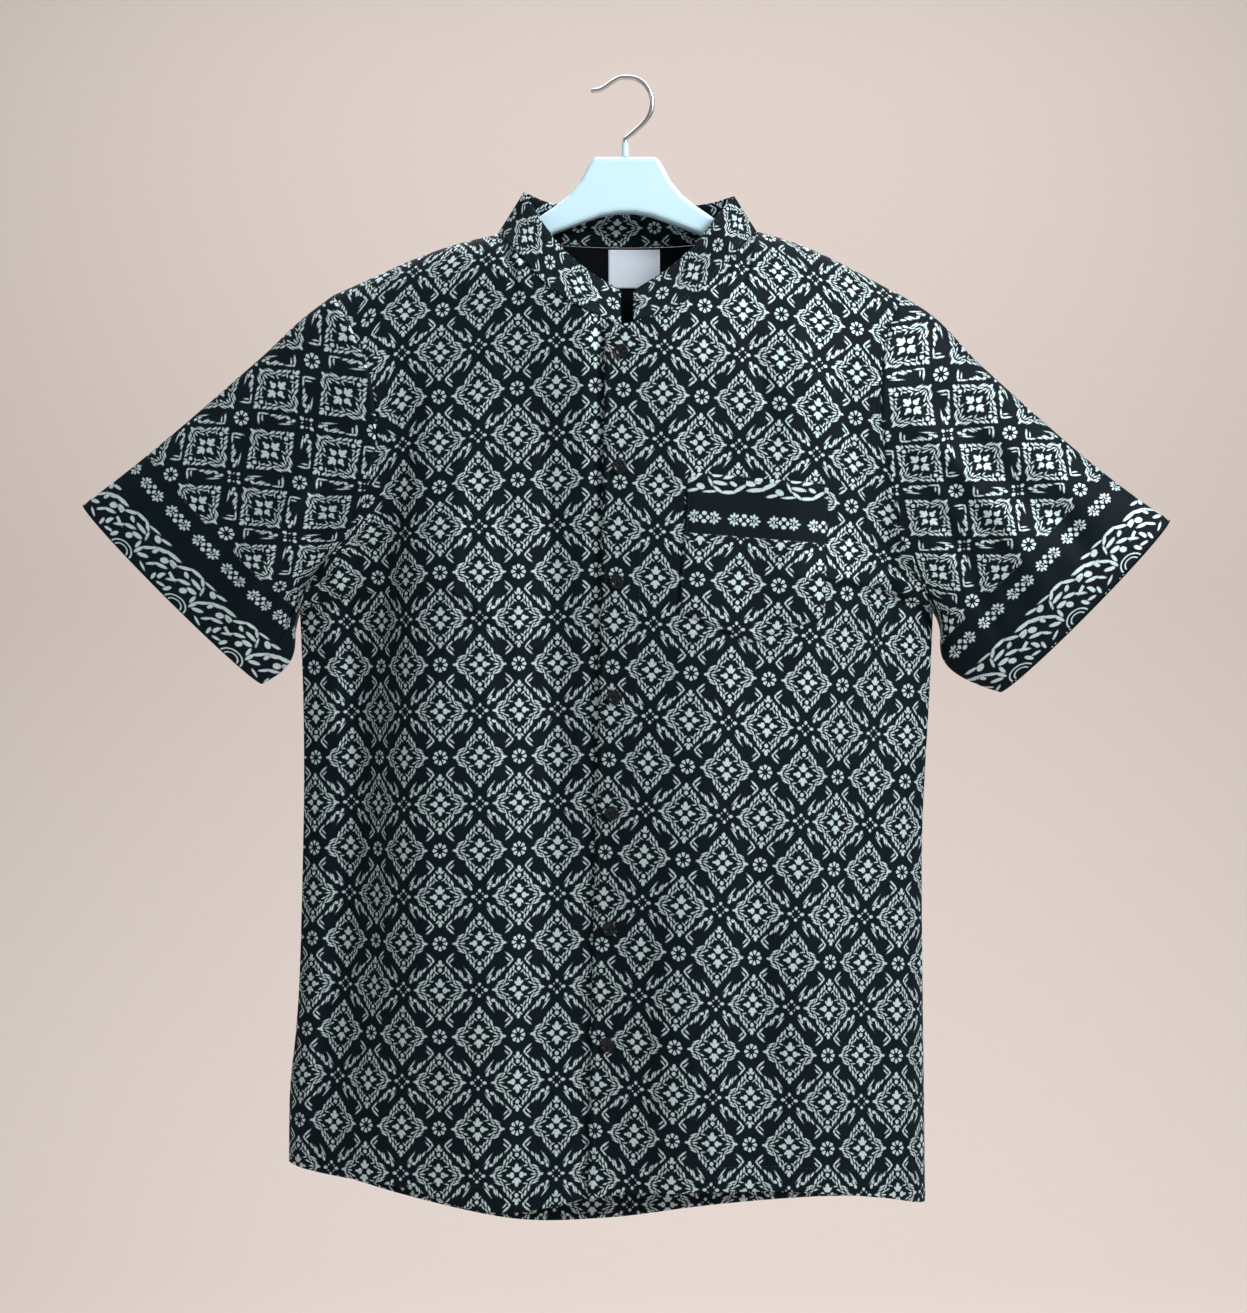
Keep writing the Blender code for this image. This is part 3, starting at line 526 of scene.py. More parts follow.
    def middle_depths(self, z: float) -> tuple[float, float]:
        """Give the depth of the front's and of the back's middle at a height.

        Args:
            z: the height.

        Returns:
            The two depths.
        """
        for low, high in zip(self.depths, self.depths[1:]):
            if z <= high.z:
                break
        share = soft_step((z - low.z) / (high.z - low.z))
        return (
            low.front + (high.front - low.front) * share,
            low.back + (high.back - low.back) * share,
        )

    def armhole_depth(self, row: float, full: float) -> float:
        """Give the depth of the armhole edge at a row, nothing at the side seam."""
        if row < self.body_rows:
            return 0.0
        return full * quarter_round(2 * both_ends(row - self.body_rows, self.arm_rows))

    def side_points(self, side: Side, rows: Sequence[float]) -> list[Vector]:
        """Follow a panel's outer edge up the side seam and then round the armhole.

        Args:
            side: the wearer's side.
            rows: the rows wanted, in coarse rows.

        Returns:
            A point for each row.
        """
        right = side is Side.RIGHT
        seam = flat_line(self.side_right if right else self.side_left)
        hole = flat_line(self.armhole_right if right else self.armhole_left)
        points = []
        for row in rows:
            if row < self.body_rows:
                points.append(seam.at(row / self.body_rows))
            else:
                points.append(hole.at(both_ends(row - self.body_rows, self.arm_rows)))
        return points

    def lap_edge_x(self, z: float) -> float:
        """Give the X of the left front's free edge at a height."""
        for low, high in zip(self.placket, self.placket[1:]):
            if z <= high.z:
                break
        return low.x + (high.x - low.x) * (z - low.z) / (high.z - low.z)

    def lap_sinks(self, point: Vector) -> float:
        """Give how far the right front lies back there to pass under the left one."""
        start = self.lap_edge_x(point.z) - self.lap_ramp - self.lap_flat
        return self.lap_sink * soft_step((point.x - start) / self.lap_ramp)

    def front_depth(
        self, point: Vector, row: float, across: float, upper: float, ridge: float, side: Side
    ) -> float:
        """Give the depth of a front at a point, before its folds.

        Args:
            point: the point, in the front view.
            row: its coarse row.
            across: its share of the way from the side seam to the free edge.
            upper: 0 where the section turns like a tube, 1 where it is a plain arch.
            ridge: the height that the cloth rolls over above it.
            side: the wearer's side.

        Returns:
            The distance in front of the hanger's plane.
        """
        edge = self.armhole_depth(row, self.armhole_front)
        turn = self.turn_right if side is Side.RIGHT else self.turn_left
        low = rounded(across, *turn)
        high = math.sin(math.pi / 2 * across)
        level = low + (high - low) * upper
        depth = edge + (self.middle_depths(point.z)[0] - edge) * level
        return depth * quarter_round((ridge - point.z) / self.front_roll)


def blend_grid(
    bottom: Points, top: Points, start: Points, end: Points,
    ups: Sequence[float], shares: Sequence[float],
) -> Grid:
    """Fill a grid between four edges.

    Args:
        bottom: the lowest row's points.
        top: the highest row's points.
        start: the first column's points.
        end: the last column's points.
        ups: each row's share of the height.
        shares: each column's share of the width.

    Returns:
        The grid, a list of points for each row.
    """
    grid = []
    for row, up in enumerate(ups):
        line = []
        for column, across in enumerate(shares):
            point = bottom[column].lerp(top[column], up) + start[row].lerp(end[row], across)
            low = bottom[0].lerp(bottom[-1], across)
            high = top[0].lerp(top[-1], across)
            line.append(point - low.lerp(high, up))
        grid.append(line)
    return grid


@dataclass
class Cloth:
    """A cloth piece: a grid of outer points, where each lies on the flat cloth, and its wall.

    `flat` and `border` hold, for each point, its place on the flat cloth and its
    place along and in from a woven border's edge, in millimetres. `own` says
    which edge points keep the piece's own normal, and `turned_up` which cells
    show the right side on the inside too.
    """

    name: str
    node: str
    points: Grid
    flat: Places
    turn: int
    wall: float
    cut: Triple
    border: Places | None = None
    wraps: bool = False
    own: Callable[[int, int], bool] | None = None
    rise: float = 0.1
    setback: float = 0.1
    bulge: float = 0.12
    turned_up: Callable[[int, int], bool] | None = None
    hangs_from: tuple[str, ...] = ("hanger_body",)
    normals: dict[Corner, Vector] = field(default_factory=dict)

    def cells(self) -> Iterator[tuple[Corner, ...]]:
        """Yield the corners (row, column) of every cell, the columns not wrapped."""
        spans = len(self.points[0]) - (0 if self.wraps else 1)
        for row in range(len(self.points) - 1):
            for column in range(spans):
                yield (row, column), (row, column + 1), (row + 1, column + 1), (row + 1, column)

    def spot(self, corner: Corner) -> Corner:
        """Wrap a corner's column round a tube."""
        return corner[0], corner[1] % len(self.points[0])

    def find_normals(self) -> None:
        """Set each grid point's normal to the sum of its cells' normals."""
        self.normals = {
            (row, column): Vector()
            for row in range(len(self.points)) for column in range(len(self.points[0]))
        }
        for corners in self.cells():
            spots = [self.spot(corner) for corner in corners]
            points = [self.points[row][column] for row, column in spots]
            normal = (points[2] - points[0]).cross(points[3] - points[1]) * self.turn
            normal.normalize()
            for spot in spots:
                self.normals[spot] += normal

    def inner(self, row: int, column: int) -> list[tuple[Vector, float]]:
        """List the points next inward from a rim point, and how far it is moved to each.

        Args:
            row: the point's row.
            column: its column.

        Returns:
            Nothing for a point off the rim.
        """
        found = []
        if row in (0, len(self.points) - 1):
            point = self.points[1 if row == 0 else row - 1][column]
            found.append((point, self.rise if row == 0 else self.setback))
        if not self.wraps and column in (0, len(self.points[0]) - 1):
            found.append((self.points[row][1 if column == 0 else column - 1], self.setback))
        return found

    def inset(self, row: int, column: int) -> Vector:
        """Give a grid point, moved back a little from the piece's edge.

        Args:
            row: the point's row.
            column: its column.

        Returns:
            The moved point.
        """
        point = self.points[row][column]
        move = Vector()
        for inner, far in self.inner(row, column):
            move += (inner - point).normalized() * far
        return point + move

    def rim(self) -> Iterator[tuple[Corner, Corner]]:
        """Yield the edges of the piece's rim in the outer faces' direction."""
        last_row = len(self.points) - 1
        last_column = len(self.points[0]) - 1
        for corners in self.cells():
            for start, end in zip(corners, corners[1:] + corners[:1]):
                along_rows = start[0] == end[0] and start[0] in (0, last_row)
                along_columns = start[1] == end[1] and start[1] in (0, last_column)
                if along_rows or (along_columns and not self.wraps):
                    yield start, end

    def in_border(self, corners: Sequence[Corner]) -> bool:
        """Say whether a cell lies in the woven border."""
        if not self.border:
            return False
        return sum(self.border[row][column][1] for row, column in corners) < 4 * BORDER_WIDTH

    def build(self, finishes: Sequence[Material]) -> Object:
        """Make the piece as a thin closed shell with softly rounded rims.

        Args:
            finishes: those of the right side, the reverse and the woven border.

        Returns:
            The piece's object.
        """
        vertices: list[Vector] = []
        index: dict[tuple[str, int, int], int] = {}

        def add(kind: str, spot: Corner, point: Vector) -> None:
            """Keep a vertex under its kind and grid point."""
            index[kind, *spot] = len(vertices)
            vertices.append(point * MM)

        for spot, normal in self.normals.items():
            unit = normal.normalized()
            point = self.inset(*spot)
            add("out", spot, point)
            add("in", spot, point - unit * self.wall)
        for start, end in self.rim():
            for corner in (self.spot(start), self.spot(end)):
                if ("rim", *corner) not in index:
                    add("rim", corner, self.rim_point(*corner))
        faces: list[tuple[int, ...]] = []
        corners_of: list[tuple[Corner, ...]] = []
        kinds: list[int] = []
        for corners in self.cells():
            right_side = 2 if self.in_border(corners) else 0
            inside = self.turned_up is not None and self.turned_up(*corners[0])
            reverse = right_side if inside else 1
            for kind, way, slot in (("out", self.turn, right_side), ("in", -self.turn, reverse)):
                faces.append(tuple(index[kind, *self.spot(corner)] for corner in corners[::way]))
                corners_of.append(corners[::way])
                kinds.append(slot)
        for start, end in self.rim():
            first, second = (start, end)[::self.turn]
            one, two = self.spot(first), self.spot(second)
            faces.append((index["out", *two], index["out", *one], index["rim", *one], index["rim", *two]))
            faces.append((index["rim", *two], index["rim", *one], index["in", *one], index["in", *two]))
            around = (second, first, first, second)
            corners_of += [around] * 2
            kinds += [2 if self.in_border(around) else 0] * 2
        mesh = bpy.data.meshes.new(self.name)
        mesh.from_pydata(vertices, [], faces)
        for finish in finishes:
            mesh.materials.append(finish)
        mesh.polygons.foreach_set("material_index", kinds)
        mesh.polygons.foreach_set("use_smooth", [True] * len(faces))
        self.write_map(mesh, "flat_cloth", self.flat, corners_of)
        if self.border:
            self.write_map(mesh, "border", self.border, corners_of)
        mesh.update()
        return placed(self.name, mesh)

    def rim_point(self, row: int, column: int) -> Vector:
        """Give the point half way round the rim's rounding.

        Args:
            row: the point's row.
            column: its column.

        Returns:
            The point on the rim.
        """
        point = self.inset(row, column)
        push = Vector()
        for inner, _ in self.inner(row, column):
            push += point - inner
        unit = self.normals[row, column].normalized()
        return point - unit * self.wall / 2 + push.normalized() * self.wall * self.bulge

    @staticmethod
    def write_map(
        mesh: bpy.types.Mesh, name: str, places: Places, corners_of: list[tuple[Corner, ...]]
    ) -> None:
        """Write a UV map in metres.

        Args:
            mesh: the piece's mesh.
            name: the map's name.
            places: a place for each grid point, in millimetres.
            corners_of: each face's corners in the grid, columns not wrapped.
        """
        layer = mesh.uv_layers.new(name=name)
        flat = [
            value * MM
            for corners in corners_of for row, column in corners for value in places[row][column]
        ]
        layer.data.foreach_set("uv", flat)

    def beside_edge(self, edge: str, distance: float) -> list[tuple[Vector, Vector]]:
        """Follow one of the piece's edges at a distance in from it.

        Args:
            edge: "first row", "last row", "first column" or "last column".
            distance: how far in, in millimetres.

        Returns:
            Points just over the cloth, and its outward directions there.
        """
        rows, columns = range(len(self.points)), range(len(self.points[0]))
        if edge.endswith("row"):
            lines = [[(row, column) for row in rows] for column in columns]
        else:
            lines = [[(row, column) for column in columns] for row in rows]
        path = []
        for line in lines:
            spots = line if edge.startswith("first") else line[::-1]
            gone = 0.0
            for (row, column), (next_row, next_column) in zip(spots, spots[1:]):
                start, end = self.points[row][column], self.points[next_row][next_column]
                step = (end - start).length
                if gone + step >= distance:
                    share = (distance - gone) / step
                    unit = self.normals[row, column].lerp(self.normals[next_row, next_column], share)
                    unit.normalize()
                    path.append((start.lerp(end, share) + unit * self.bulge, unit))
                    break
                gone += step
        return path

    def tree(self) -> BVHTree:
        """Give the piece's outside for finding points on it, in millimetres."""
        columns = len(self.points[0])
        points = [point for line in self.points for point in line]
        quads = [tuple(row * columns + column for row, column in corners) for corners in self.cells()]
        return BVHTree.FromPolygons(points, quads)


def sew(pieces: Sequence[Cloth]) -> None:
    """Give the pieces one normal at each seam point that they share.

    Args:
        pieces: those that are sewn together.
    """
    for piece in pieces:
        piece.find_normals()
    edge_spots = []
    for piece in pieces:
        for spot in piece.normals:
            if piece.inner(*spot) and not (piece.own and piece.own(*spot)):
                edge_spots.append((piece, spot))
    tree = KDTree(len(edge_spots))
    for index, (piece, (row, column)) in enumerate(edge_spots):
        tree.insert(piece.points[row][column], index)
    tree.balance()
    sums = []
    for piece, (row, column) in edge_spots:
        total = Vector()
        for _, other, _ in tree.find_range(piece.points[row][column], 0.05):
            near, spot = edge_spots[other]
            total += near.normals[spot]
        sums.append(total)
    for (piece, spot), total in zip(edge_spots, sums):
        piece.normals[spot] = total


@dataclass
class Body:
    """The two fronts and the back, which share their seams."""

    shape: GarmentShape
    wall: float = 0.8
    repeat_right: Repeat = Repeat(-117.0, -601.0, -1.0, 0.0)
    repeat_left: Repeat = Repeat(16.8, -464.2, 4.5, 2.2)
    repeat_back: Repeat = Repeat(0.0, -150.0)

    def flat_places(self, grid: Grid, still: int, origin: Repeat) -> Places:
        """Lay a body piece out flat, keeping its front view where the cloth is square to it.

        Args:
            grid: the piece's points, hem first.
            still: the column that keeps its place.
            origin: where a repeat of the weave starts.

        Returns:
            The place of every point on the flat cloth.
        """
        rows, columns = len(grid), len(grid[0])

        def extra(first: Vector, second: Vector) -> float:
            """Give how much longer a step is than it looks from the front."""
            step = second - first
            return step.length - math.hypot(step.x, step.z)

        across = []
        for line in grid:
            sums = [0.0]
            for pair in zip(line, line[1:]):
                sums.append(sums[-1] + extra(*pair))
            across.append([so_far - sums[still] for so_far in sums])
        upward = [[0.0] * columns]
        for below, line in zip(grid, grid[1:]):
            upward.append([so_far + extra(*pair) for so_far, *pair in zip(upward[-1], below, line)])
        middle = rows // 2
        way = 1 if grid[0][-1].x > grid[0][0].x else -1
        return [
            [
                origin.flat(point.x + way * sums[column], point.z + rises[column] - upward[middle][column])
                for column, point in enumerate(line)
            ]
            for line, sums, rises in zip(grid, across, upward)
        ]

    def front(self, side: Side) -> Cloth:
        """Lay out one front, from its side seam to its free edge.

        Args:
            side: the wearer's side.

        Returns:
            The front.
        """
        shape = self.shape
        right = side is Side.RIGHT
        rows = shape.rows()
        ups = [shape.share_of_row(row) for row in rows]
        steps = [step / shape.fine for step in range(shape.front_columns * shape.fine + 1)]
        shares = [one_end(step, shape.front_columns) for step in steps]
        neck = shape.neck(side)
        collar = shape.collar_right if right else shape.collar_left
        seam = SmoothLine([Vector(row.seam) for row in collar])
        neck_end = Vector(shape.neck_end_right if right else shape.neck_end_left)
        top = []
        for step in steps:
            if step < shape.neck_column:
                top.append(shape.shoulder_point(side, step / shape.neck_column))
            elif step <= shape.collar_column:
                span = shape.collar_column - shape.neck_column
                top.append(seam.at((step - shape.neck_column) / span))
            else:
                top.append(seam.at(1).lerp(neck_end, step - shape.collar_column))
        flat_top = flattened(top)
        moved = [Place(place.x + (shape.lap if right else 0), place.z) for place in shape.placket]
        edge = flat_line(moved)
        inner = [edge.at(up) for up in ups]
        inner[-1] = flat_top[-1]
        hem = flat_line(shape.hem_front)
        hem_span = (0, self.hem_share(inner[0].x)) if right else (1, self.hem_share(inner[0].x))
        bottom = [hem.at(hem_span[0] + (hem_span[1] - hem_span[0]) * across) for across in shares]
        bottom[-1] = inner[0]
        grid = blend_grid(bottom, flat_top, shape.side_points(side, rows), inner, ups, shares)
        shoulder = shape.neck_column * shape.fine
        for row, line in enumerate(grid):
            upper = soft_step((rows[row] - shape.body_rows) / shape.level_rows)
            for column, point in enumerate(line):
                across = shares[column]
                ridge = flat_top[column].z if column <= shoulder else neck.z
                point.y = -shape.front_depth(point, rows[row], across, upper, ridge, side)
                if column > shoulder:
                    miss = top[column].y + shape.front_depth(
                        flat_top[column], rows[-1], across, 1.0, neck.z, side
                    )
                    point.y += miss * soft_step(1 - (flat_top[column].z - point.z) / shape.neck_fade)
                fade = 1.0
                if rows[row] < shape.body_rows + shape.fade_rows:
                    fade = soft_step(across / shape.side_fade)
                fade *= soft_step((flat_top[column].z - point.z) / shape.neck_fade)
                point.y += fold_depth(FRONT_FOLDS, point) * fade
                point.y += fold_depth(FRONT_CREASES, point) * fade * soft_step(across / shape.crease_fade)
                if right:
                    point.y += shape.lap_sinks(point)
        for column in range(shoulder + 1):
            grid[-1][column].y = 0
        origin = self.repeat_right if right else self.repeat_left
        name = side.name.lower()
        return Cloth(
            f"{name}_front_cloth", f"front_{name}", grid,
            self.flat_places(grid, len(grid[0]) - 1, origin), 1 if right else -1, self.wall,
            cut=(0.31, 0.78, 0.2) if right else (0.3, 0.78, 0.2),
            turned_up=lambda row, column: rows[row] < 0.5 or column > len(steps) - 12,
        )

    def hem_share(self, x: float) -> float:
        """Find how far along the front hem an X lies, as a share of its length.

        Args:
            x: the X.

        Returns:
            0 at the right side seam and 1 at the left one.
        """
        line = flat_line(self.shape.hem_front)
        low, high = 0.0, 1.0
        for _ in range(30):
            middle = (low + high) / 2
            if line.at(middle).x < x:
                low = middle
            else:
                high = middle
        return low

    def back(self) -> Cloth:
        """Lay out the back, from its right side seam to its left one."""
        shape = self.shape
        rows = shape.rows()
        ups = [shape.share_of_row(row) for row in rows]
        count = shape.back_columns
        steps = [step / shape.fine for step in range(count * shape.fine + 1)]
        shares = [both_ends(step, count) for step in steps]
        first, last = shape.back_neck
        seam = SmoothLine([Vector(row.seam) for row in shape.collar_back])
        top = []
        for step in steps:
            if step < first:
                top.append(shape.shoulder_point(Side.RIGHT, step / first))
            elif step <= last:
                top.append(seam.at((step - first) / (last - first)))
            else:
                top.append(shape.shoulder_point(Side.LEFT, (count - step) / (count - last)))
        flat_top = flattened(top)
        hem = flat_line(shape.hem_back)
        bottom = [hem.at(across) for across in shares]
        right = shape.side_points(Side.RIGHT, rows)
        left = shape.side_points(Side.LEFT, rows)
        grid = blend_grid(bottom, flat_top, right, left, ups, shares)
        high = max(top[first * shape.fine].z, top[last * shape.fine].z)
        for row, line in enumerate(grid):
            upper = soft_step((rows[row] - shape.body_rows) / shape.level_rows)
            edge = shape.armhole_depth(rows[row], shape.armhole_back)
            for column, point in enumerate(line):
                inward = 1 - abs(2 * shares[column] - 1)
                in_neck = first < steps[column] < last
                ridge = high if in_neck else flat_top[column].z
                level = rounded(inward, *shape.turn_back)
                level += (math.sin(math.pi / 2 * inward) - level) * upper
                depth = edge + (shape.middle_depths(point.z)[1] - edge) * level
                point.y = depth * quarter_round((ridge - point.z) / shape.back_roll)
                below_top = (flat_top[column].z - point.z) / shape.neck_fade
                if in_neck:
                    from_end = min(steps[column] - first, last - steps[column])
                    least, reach = shape.neck_end_fade
                    short = least + (1 - least) * soft_step(from_end / reach)
                    point.y += (top[column].y - point.y) * soft_step(1 - below_top / short)
                fade = 1.0
                if rows[row] < shape.body_rows + shape.fade_rows:
                    fade = soft_step(inward / shape.side_fade / 2)
                fade *= soft_step(below_top)
                point.y -= fold_depth(BACK_FOLDS, point) * fade
                point.y -= fold_depth(BACK_CREASES, point) * fade * soft_step(inward / shape.crease_fade / 2)
        return Cloth(
            "back_cloth", "back", grid, self.flat_places(grid, len(steps) // 2, self.repeat_back),
            -1, self.wall, cut=(0.53, 0.8, 0.37), turned_up=lambda row, column: rows[row] < 0.5,
        )


@dataclass
class Sleeve:
    """One short sleeve, a tube from its armhole to its flattened hem."""

    shape: GarmentShape
    side: Side
    front_edge: list[Vector]
    back_edge: list[Vector]
    wall: float = 0.8
    hem_from: float = 0.86
    hem_rings: tuple[float, ...] = (0.989, 0.992, 0.995)
    armhole_fade: float = 0.2

    def build(self) -> Cloth:
        """Lay out the sleeve as rings from the armhole to the hem."""
        shape = self.shape
        right = self.side is Side.RIGHT
        hem = shape.sleeve_right if right else shape.sleeve_left
        bottom = hem.bottom.on_plane
        rise = hem.top.on_plane - bottom
        outward = Vector((-rise.z, 0, rise.x)).normalized()
        if outward.x * hem.top.x < 0:
            outward.negate()
        armhole = self.front_edge + list(reversed(self.back_edge))[1:-1]
        count = len(armhole)
        half = len(self.front_edge) - 1
        columns = shape.sleeve_columns * shape.fine
        far_head = math.exp(-((shape.head_share / shape.head_width) ** 2))
        shares = [step / columns for step in range(columns + 1)]
        shares += self.hem_rings
        shares.sort()
        grid = []
        for share in shares:
            ring = []
            for index, start in enumerate(armhole):
                in_front = index <= half
                up = both_ends(index if in_front else count - index, half)
                end = bottom + rise * up
                width = quarter_round(2 * min(up, 1 - up))
                end.y = -hem.front * width if in_front else hem.back * width
                end += outward * width * (hem.bow if in_front else hem.back_bow)
                point = start.lerp(end, share)
                arch = shape.arch_scale * share * share * (1 - share)
                point.x -= self.side.value * hem.sag * arch * (1 - up) ** shape.edge_power
                head = math.exp(-((share - shape.head_share) / shape.head_width) ** 2)
                head = max(head - far_head * (1 - share), 0)
                point.z -= (hem.top_sag * arch - hem.bump * head) * up ** shape.edge_power
                swell = share * (1 - share) * 2 * width
                turn = 1 if in_front else -1
                folds = FRONT_FOLDS if in_front else BACK_FOLDS
                point.y += turn * fold_depth(folds, point) * swell
                edge = soft_step(share / self.armhole_fade) * width
                point.y += turn * fold_depth(SLEEVE_CREASES, point) * edge
                ring.append(point)
            grid.append(ring)
        flat = self.flat_places(grid, half)
        near = 3 * shape.fine
        name = self.side.name.lower()
        return Cloth(
            f"{name}_sleeve_cloth", f"sleeve_{name}", grid, flat, 1 if right else -1, self.wall,
            cut=(0.44, 0.28, 0.084), border=flat, wraps=True,
            own=lambda row, column: row == 0 and min(column, count - column) <= near,
            turned_up=lambda row, column: shares[row] > self.hem_from,
            hangs_from=(f"{name}_front_cloth", "back_cloth"),
        )

    @staticmethod
    def flat_places(grid: Grid, half: int) -> Places:
        """Lay the sleeve out flat, square to its hem, front and back meeting at its top.

        Args:
            grid: the sleeve's rings.
            half: the index of a ring's top.

        Returns:
            The places on the flat cloth, which are also those along and in from the hem.
        """
        rings = [[*ring, ring[0]] for ring in grid]
        around = lengths_along(rings[-1])
        inward = [lengths_along(column[::-1])[::-1] for column in zip(*rings)]
        return [
            [(share - around[half], length) for share, length in zip(around, line)]
            for line in zip(*inward)
        ]


@dataclass
class Collar:
    """The stand-up collar: two bands sewn together round the neck."""

    shape: GarmentShape
    wall: float = 1.9
    rise: float = 0.45
    height: float = 38
    phase: float = 9
    droop: float = 3.2
    droop_points: int = 9

    def build(self, right: Cloth, back: Cloth, left: Cloth) -> Cloth:
        """Stand the collar on the neck seams.

        Args:
            right: the right front.
            back: the back.
            left: the left front.

        Returns:
            The collar, laid out from its right front end round to its left one.
        """
        shape = self.shape
        span = slice(shape.neck_column * shape.fine, shape.collar_column * shape.fine + 1)
        first, last = shape.back_neck
        back_span = slice(first * shape.fine, last * shape.fine + 1)
        pairs = self.stretch(right.points[-1][span], shape.collar_right)[::-1]
        pairs += self.stretch(back.points[-1][back_span], shape.collar_back)[1:]
        pairs += self.stretch(left.points[-1][span], shape.collar_left)[1:]
        grid = []
        for row in range(shape.collar_rows + 1):
            share = row / shape.collar_rows
            line = []
            for index, (low, high) in enumerate(pairs):
                ends = min(index, len(pairs) - 1 - index) / self.droop_points
                point = low.lerp(high, share)
                point.z -= self.droop * max(0.0, 1 - ends) ** 2 * share ** 3
                line.append(point)
            grid.append(line)
        along = lengths_along(grid[shape.collar_rows // 2])
        flat = [
            [(share + self.phase - along[-1] / 2, (up - 0.5) * self.height) for share in along]
            for up in (row / shape.collar_rows for row in range(len(grid)))
        ]
        return Cloth(
            "collar_cloth", "collar", grid, flat, -1, self.wall, cut=(0.5, 0.045, 0.016),
            own=lambda row, column: True, rise=self.rise,
            turned_up=lambda row, column: True, hangs_from=("back_cloth",),
        )

    @staticmethod
    def stretch(seam: Points, rows: Sequence[CollarRow]) -> list[tuple[Vector, Vector]]:
        """Pair a stretch of seam points with the points above them on the collar's edge.

        Args:
            seam: the seam's points.
            rows: the stretch's table.

        Returns:
            The pairs, in the seam's order.
        """
        edge = SmoothLine([Vector(row.edge) for row in rows])
        last = len(seam) - 1
        return [(point, edge.at(index / last)) for index, point in enumerate(seam)]


@dataclass
class ChestPocket:
    """The patch pocket on the left front, with its pointed lower edge."""

    top: tuple[Place, Place] = (Place(44.3, -313.5), Place(152.2, -321.9))
    bottom: tuple[Place, Place] = (Place(36.2, -419.8), Place(148.4, -423.7))
    point: Place = Place(91.7, -443.6)
    wall: float = 0.8
    gap: float = 0.6
    full_wall: float = 1.0
    cells: int = 60
    hem_from: float = 0.93
    hem_lift: float = 0.25
    turned_row: int = 50
    phase: Place = Place(-42.5, 81)
    border: Place = Place(-14.2, 18.3)

    def lower_edge(self, across: float) -> Vector:
        """Give the front-view place on the pocket's lower edge."""
        if across < 0.5:
            return Vector(self.bottom[0]).lerp(Vector(self.point), across * 2)
        return Vector(self.point).lerp(Vector(self.bottom[1]), across * 2 - 1)

    def build(self, panel: Cloth) -> Cloth:
        """Lay the pocket on the left front.

        Args:
            panel: the left front.

        Returns:
            The pocket.
        """
        tree = panel.tree()
        grid, flat, border = [], [], []
        width = self.top[1].x - self.top[0].x
        for row in range(self.cells + 1):
            up = row / self.cells
            line, flat_line_, border_line = [], [], []
            for column in range(self.cells + 1):
                across = column / self.cells
                high = Vector(self.top[0]).lerp(Vector(self.top[1]), across)
                spot = self.lower_edge(across).lerp(high, up)
                point, normal = seat_on(tree, Place(*spot))
                edge = min(across, 1 - across, up) * width
                lift = self.gap + self.full_wall - 0.5 * (1 - soft_step(edge / 5))
                if up > self.hem_from:
                    lift += self.hem_lift
                line.append(point + normal * lift)
                flat_line_.append((across * width + self.phase.x, spot.y - high.y + self.phase.z))
                border_line.append((across * width + self.border.x, high.y - spot.y + self.border.z))
            grid.append(line)
            flat.append(flat_line_)
            border.append(border_line)
        return Cloth(
            "pocket_cloth", "pocket", grid, flat, 1, self.wall, cut=(0.112, 0.13, 0.0135),
            border=border, hangs_from=("left_front_cloth",),
            turned_up=lambda row, column: row > self.turned_row,
        )


def seat_on(tree: BVHTree, place: Place) -> tuple[Vector, Vector]:
    """Give the first point seen from the front at a place, and its normal towards the viewer."""
    point, normal, _, _ = tree.ray_cast(Vector((place.x, -300, place.z)), Vector((0, 1, 0)))
    return point, normal if normal.y < 0 else -normal


@dataclass
class NeckLabel:
    """The bare ribbon label inside the back of the neck."""

    corner: Place = Place(-17.4, -129.5)
    far_corner: Place = Place(24.0, -160.0)
    wall: float = 0.6
    lift: float = 1.6
    cells: int = 24

    def build(self, panel: Cloth) -> Cloth:
        """Lay the label on the back's inside.

        Args:
            panel: the back.

        Returns:
            The label.
        """
        tree = panel.tree()
        shares = [step / self.cells for step in range(self.cells + 1)]
        width, height = self.far_corner.x - self.corner.x, self.corner.z - self.far_corner.z
        flat = [
            [Place(self.corner.x + width * across, self.far_corner.z + height * up) for across in shares]
            for up in shares
        ]
        grid = []
        for line in flat:
            seats = [seat_on(tree, place) for place in line]
            grid.append([point + normal * (self.lift + panel.wall * 0.5) for point, normal in seats])
        return Cloth(
            "label_ribbon", "label", grid, flat, 1, self.wall, cut=(0.042, 0.031, 0.0013),
            turned_up=lambda row, column: True, hangs_from=("back_cloth",),
        )


Link = Any


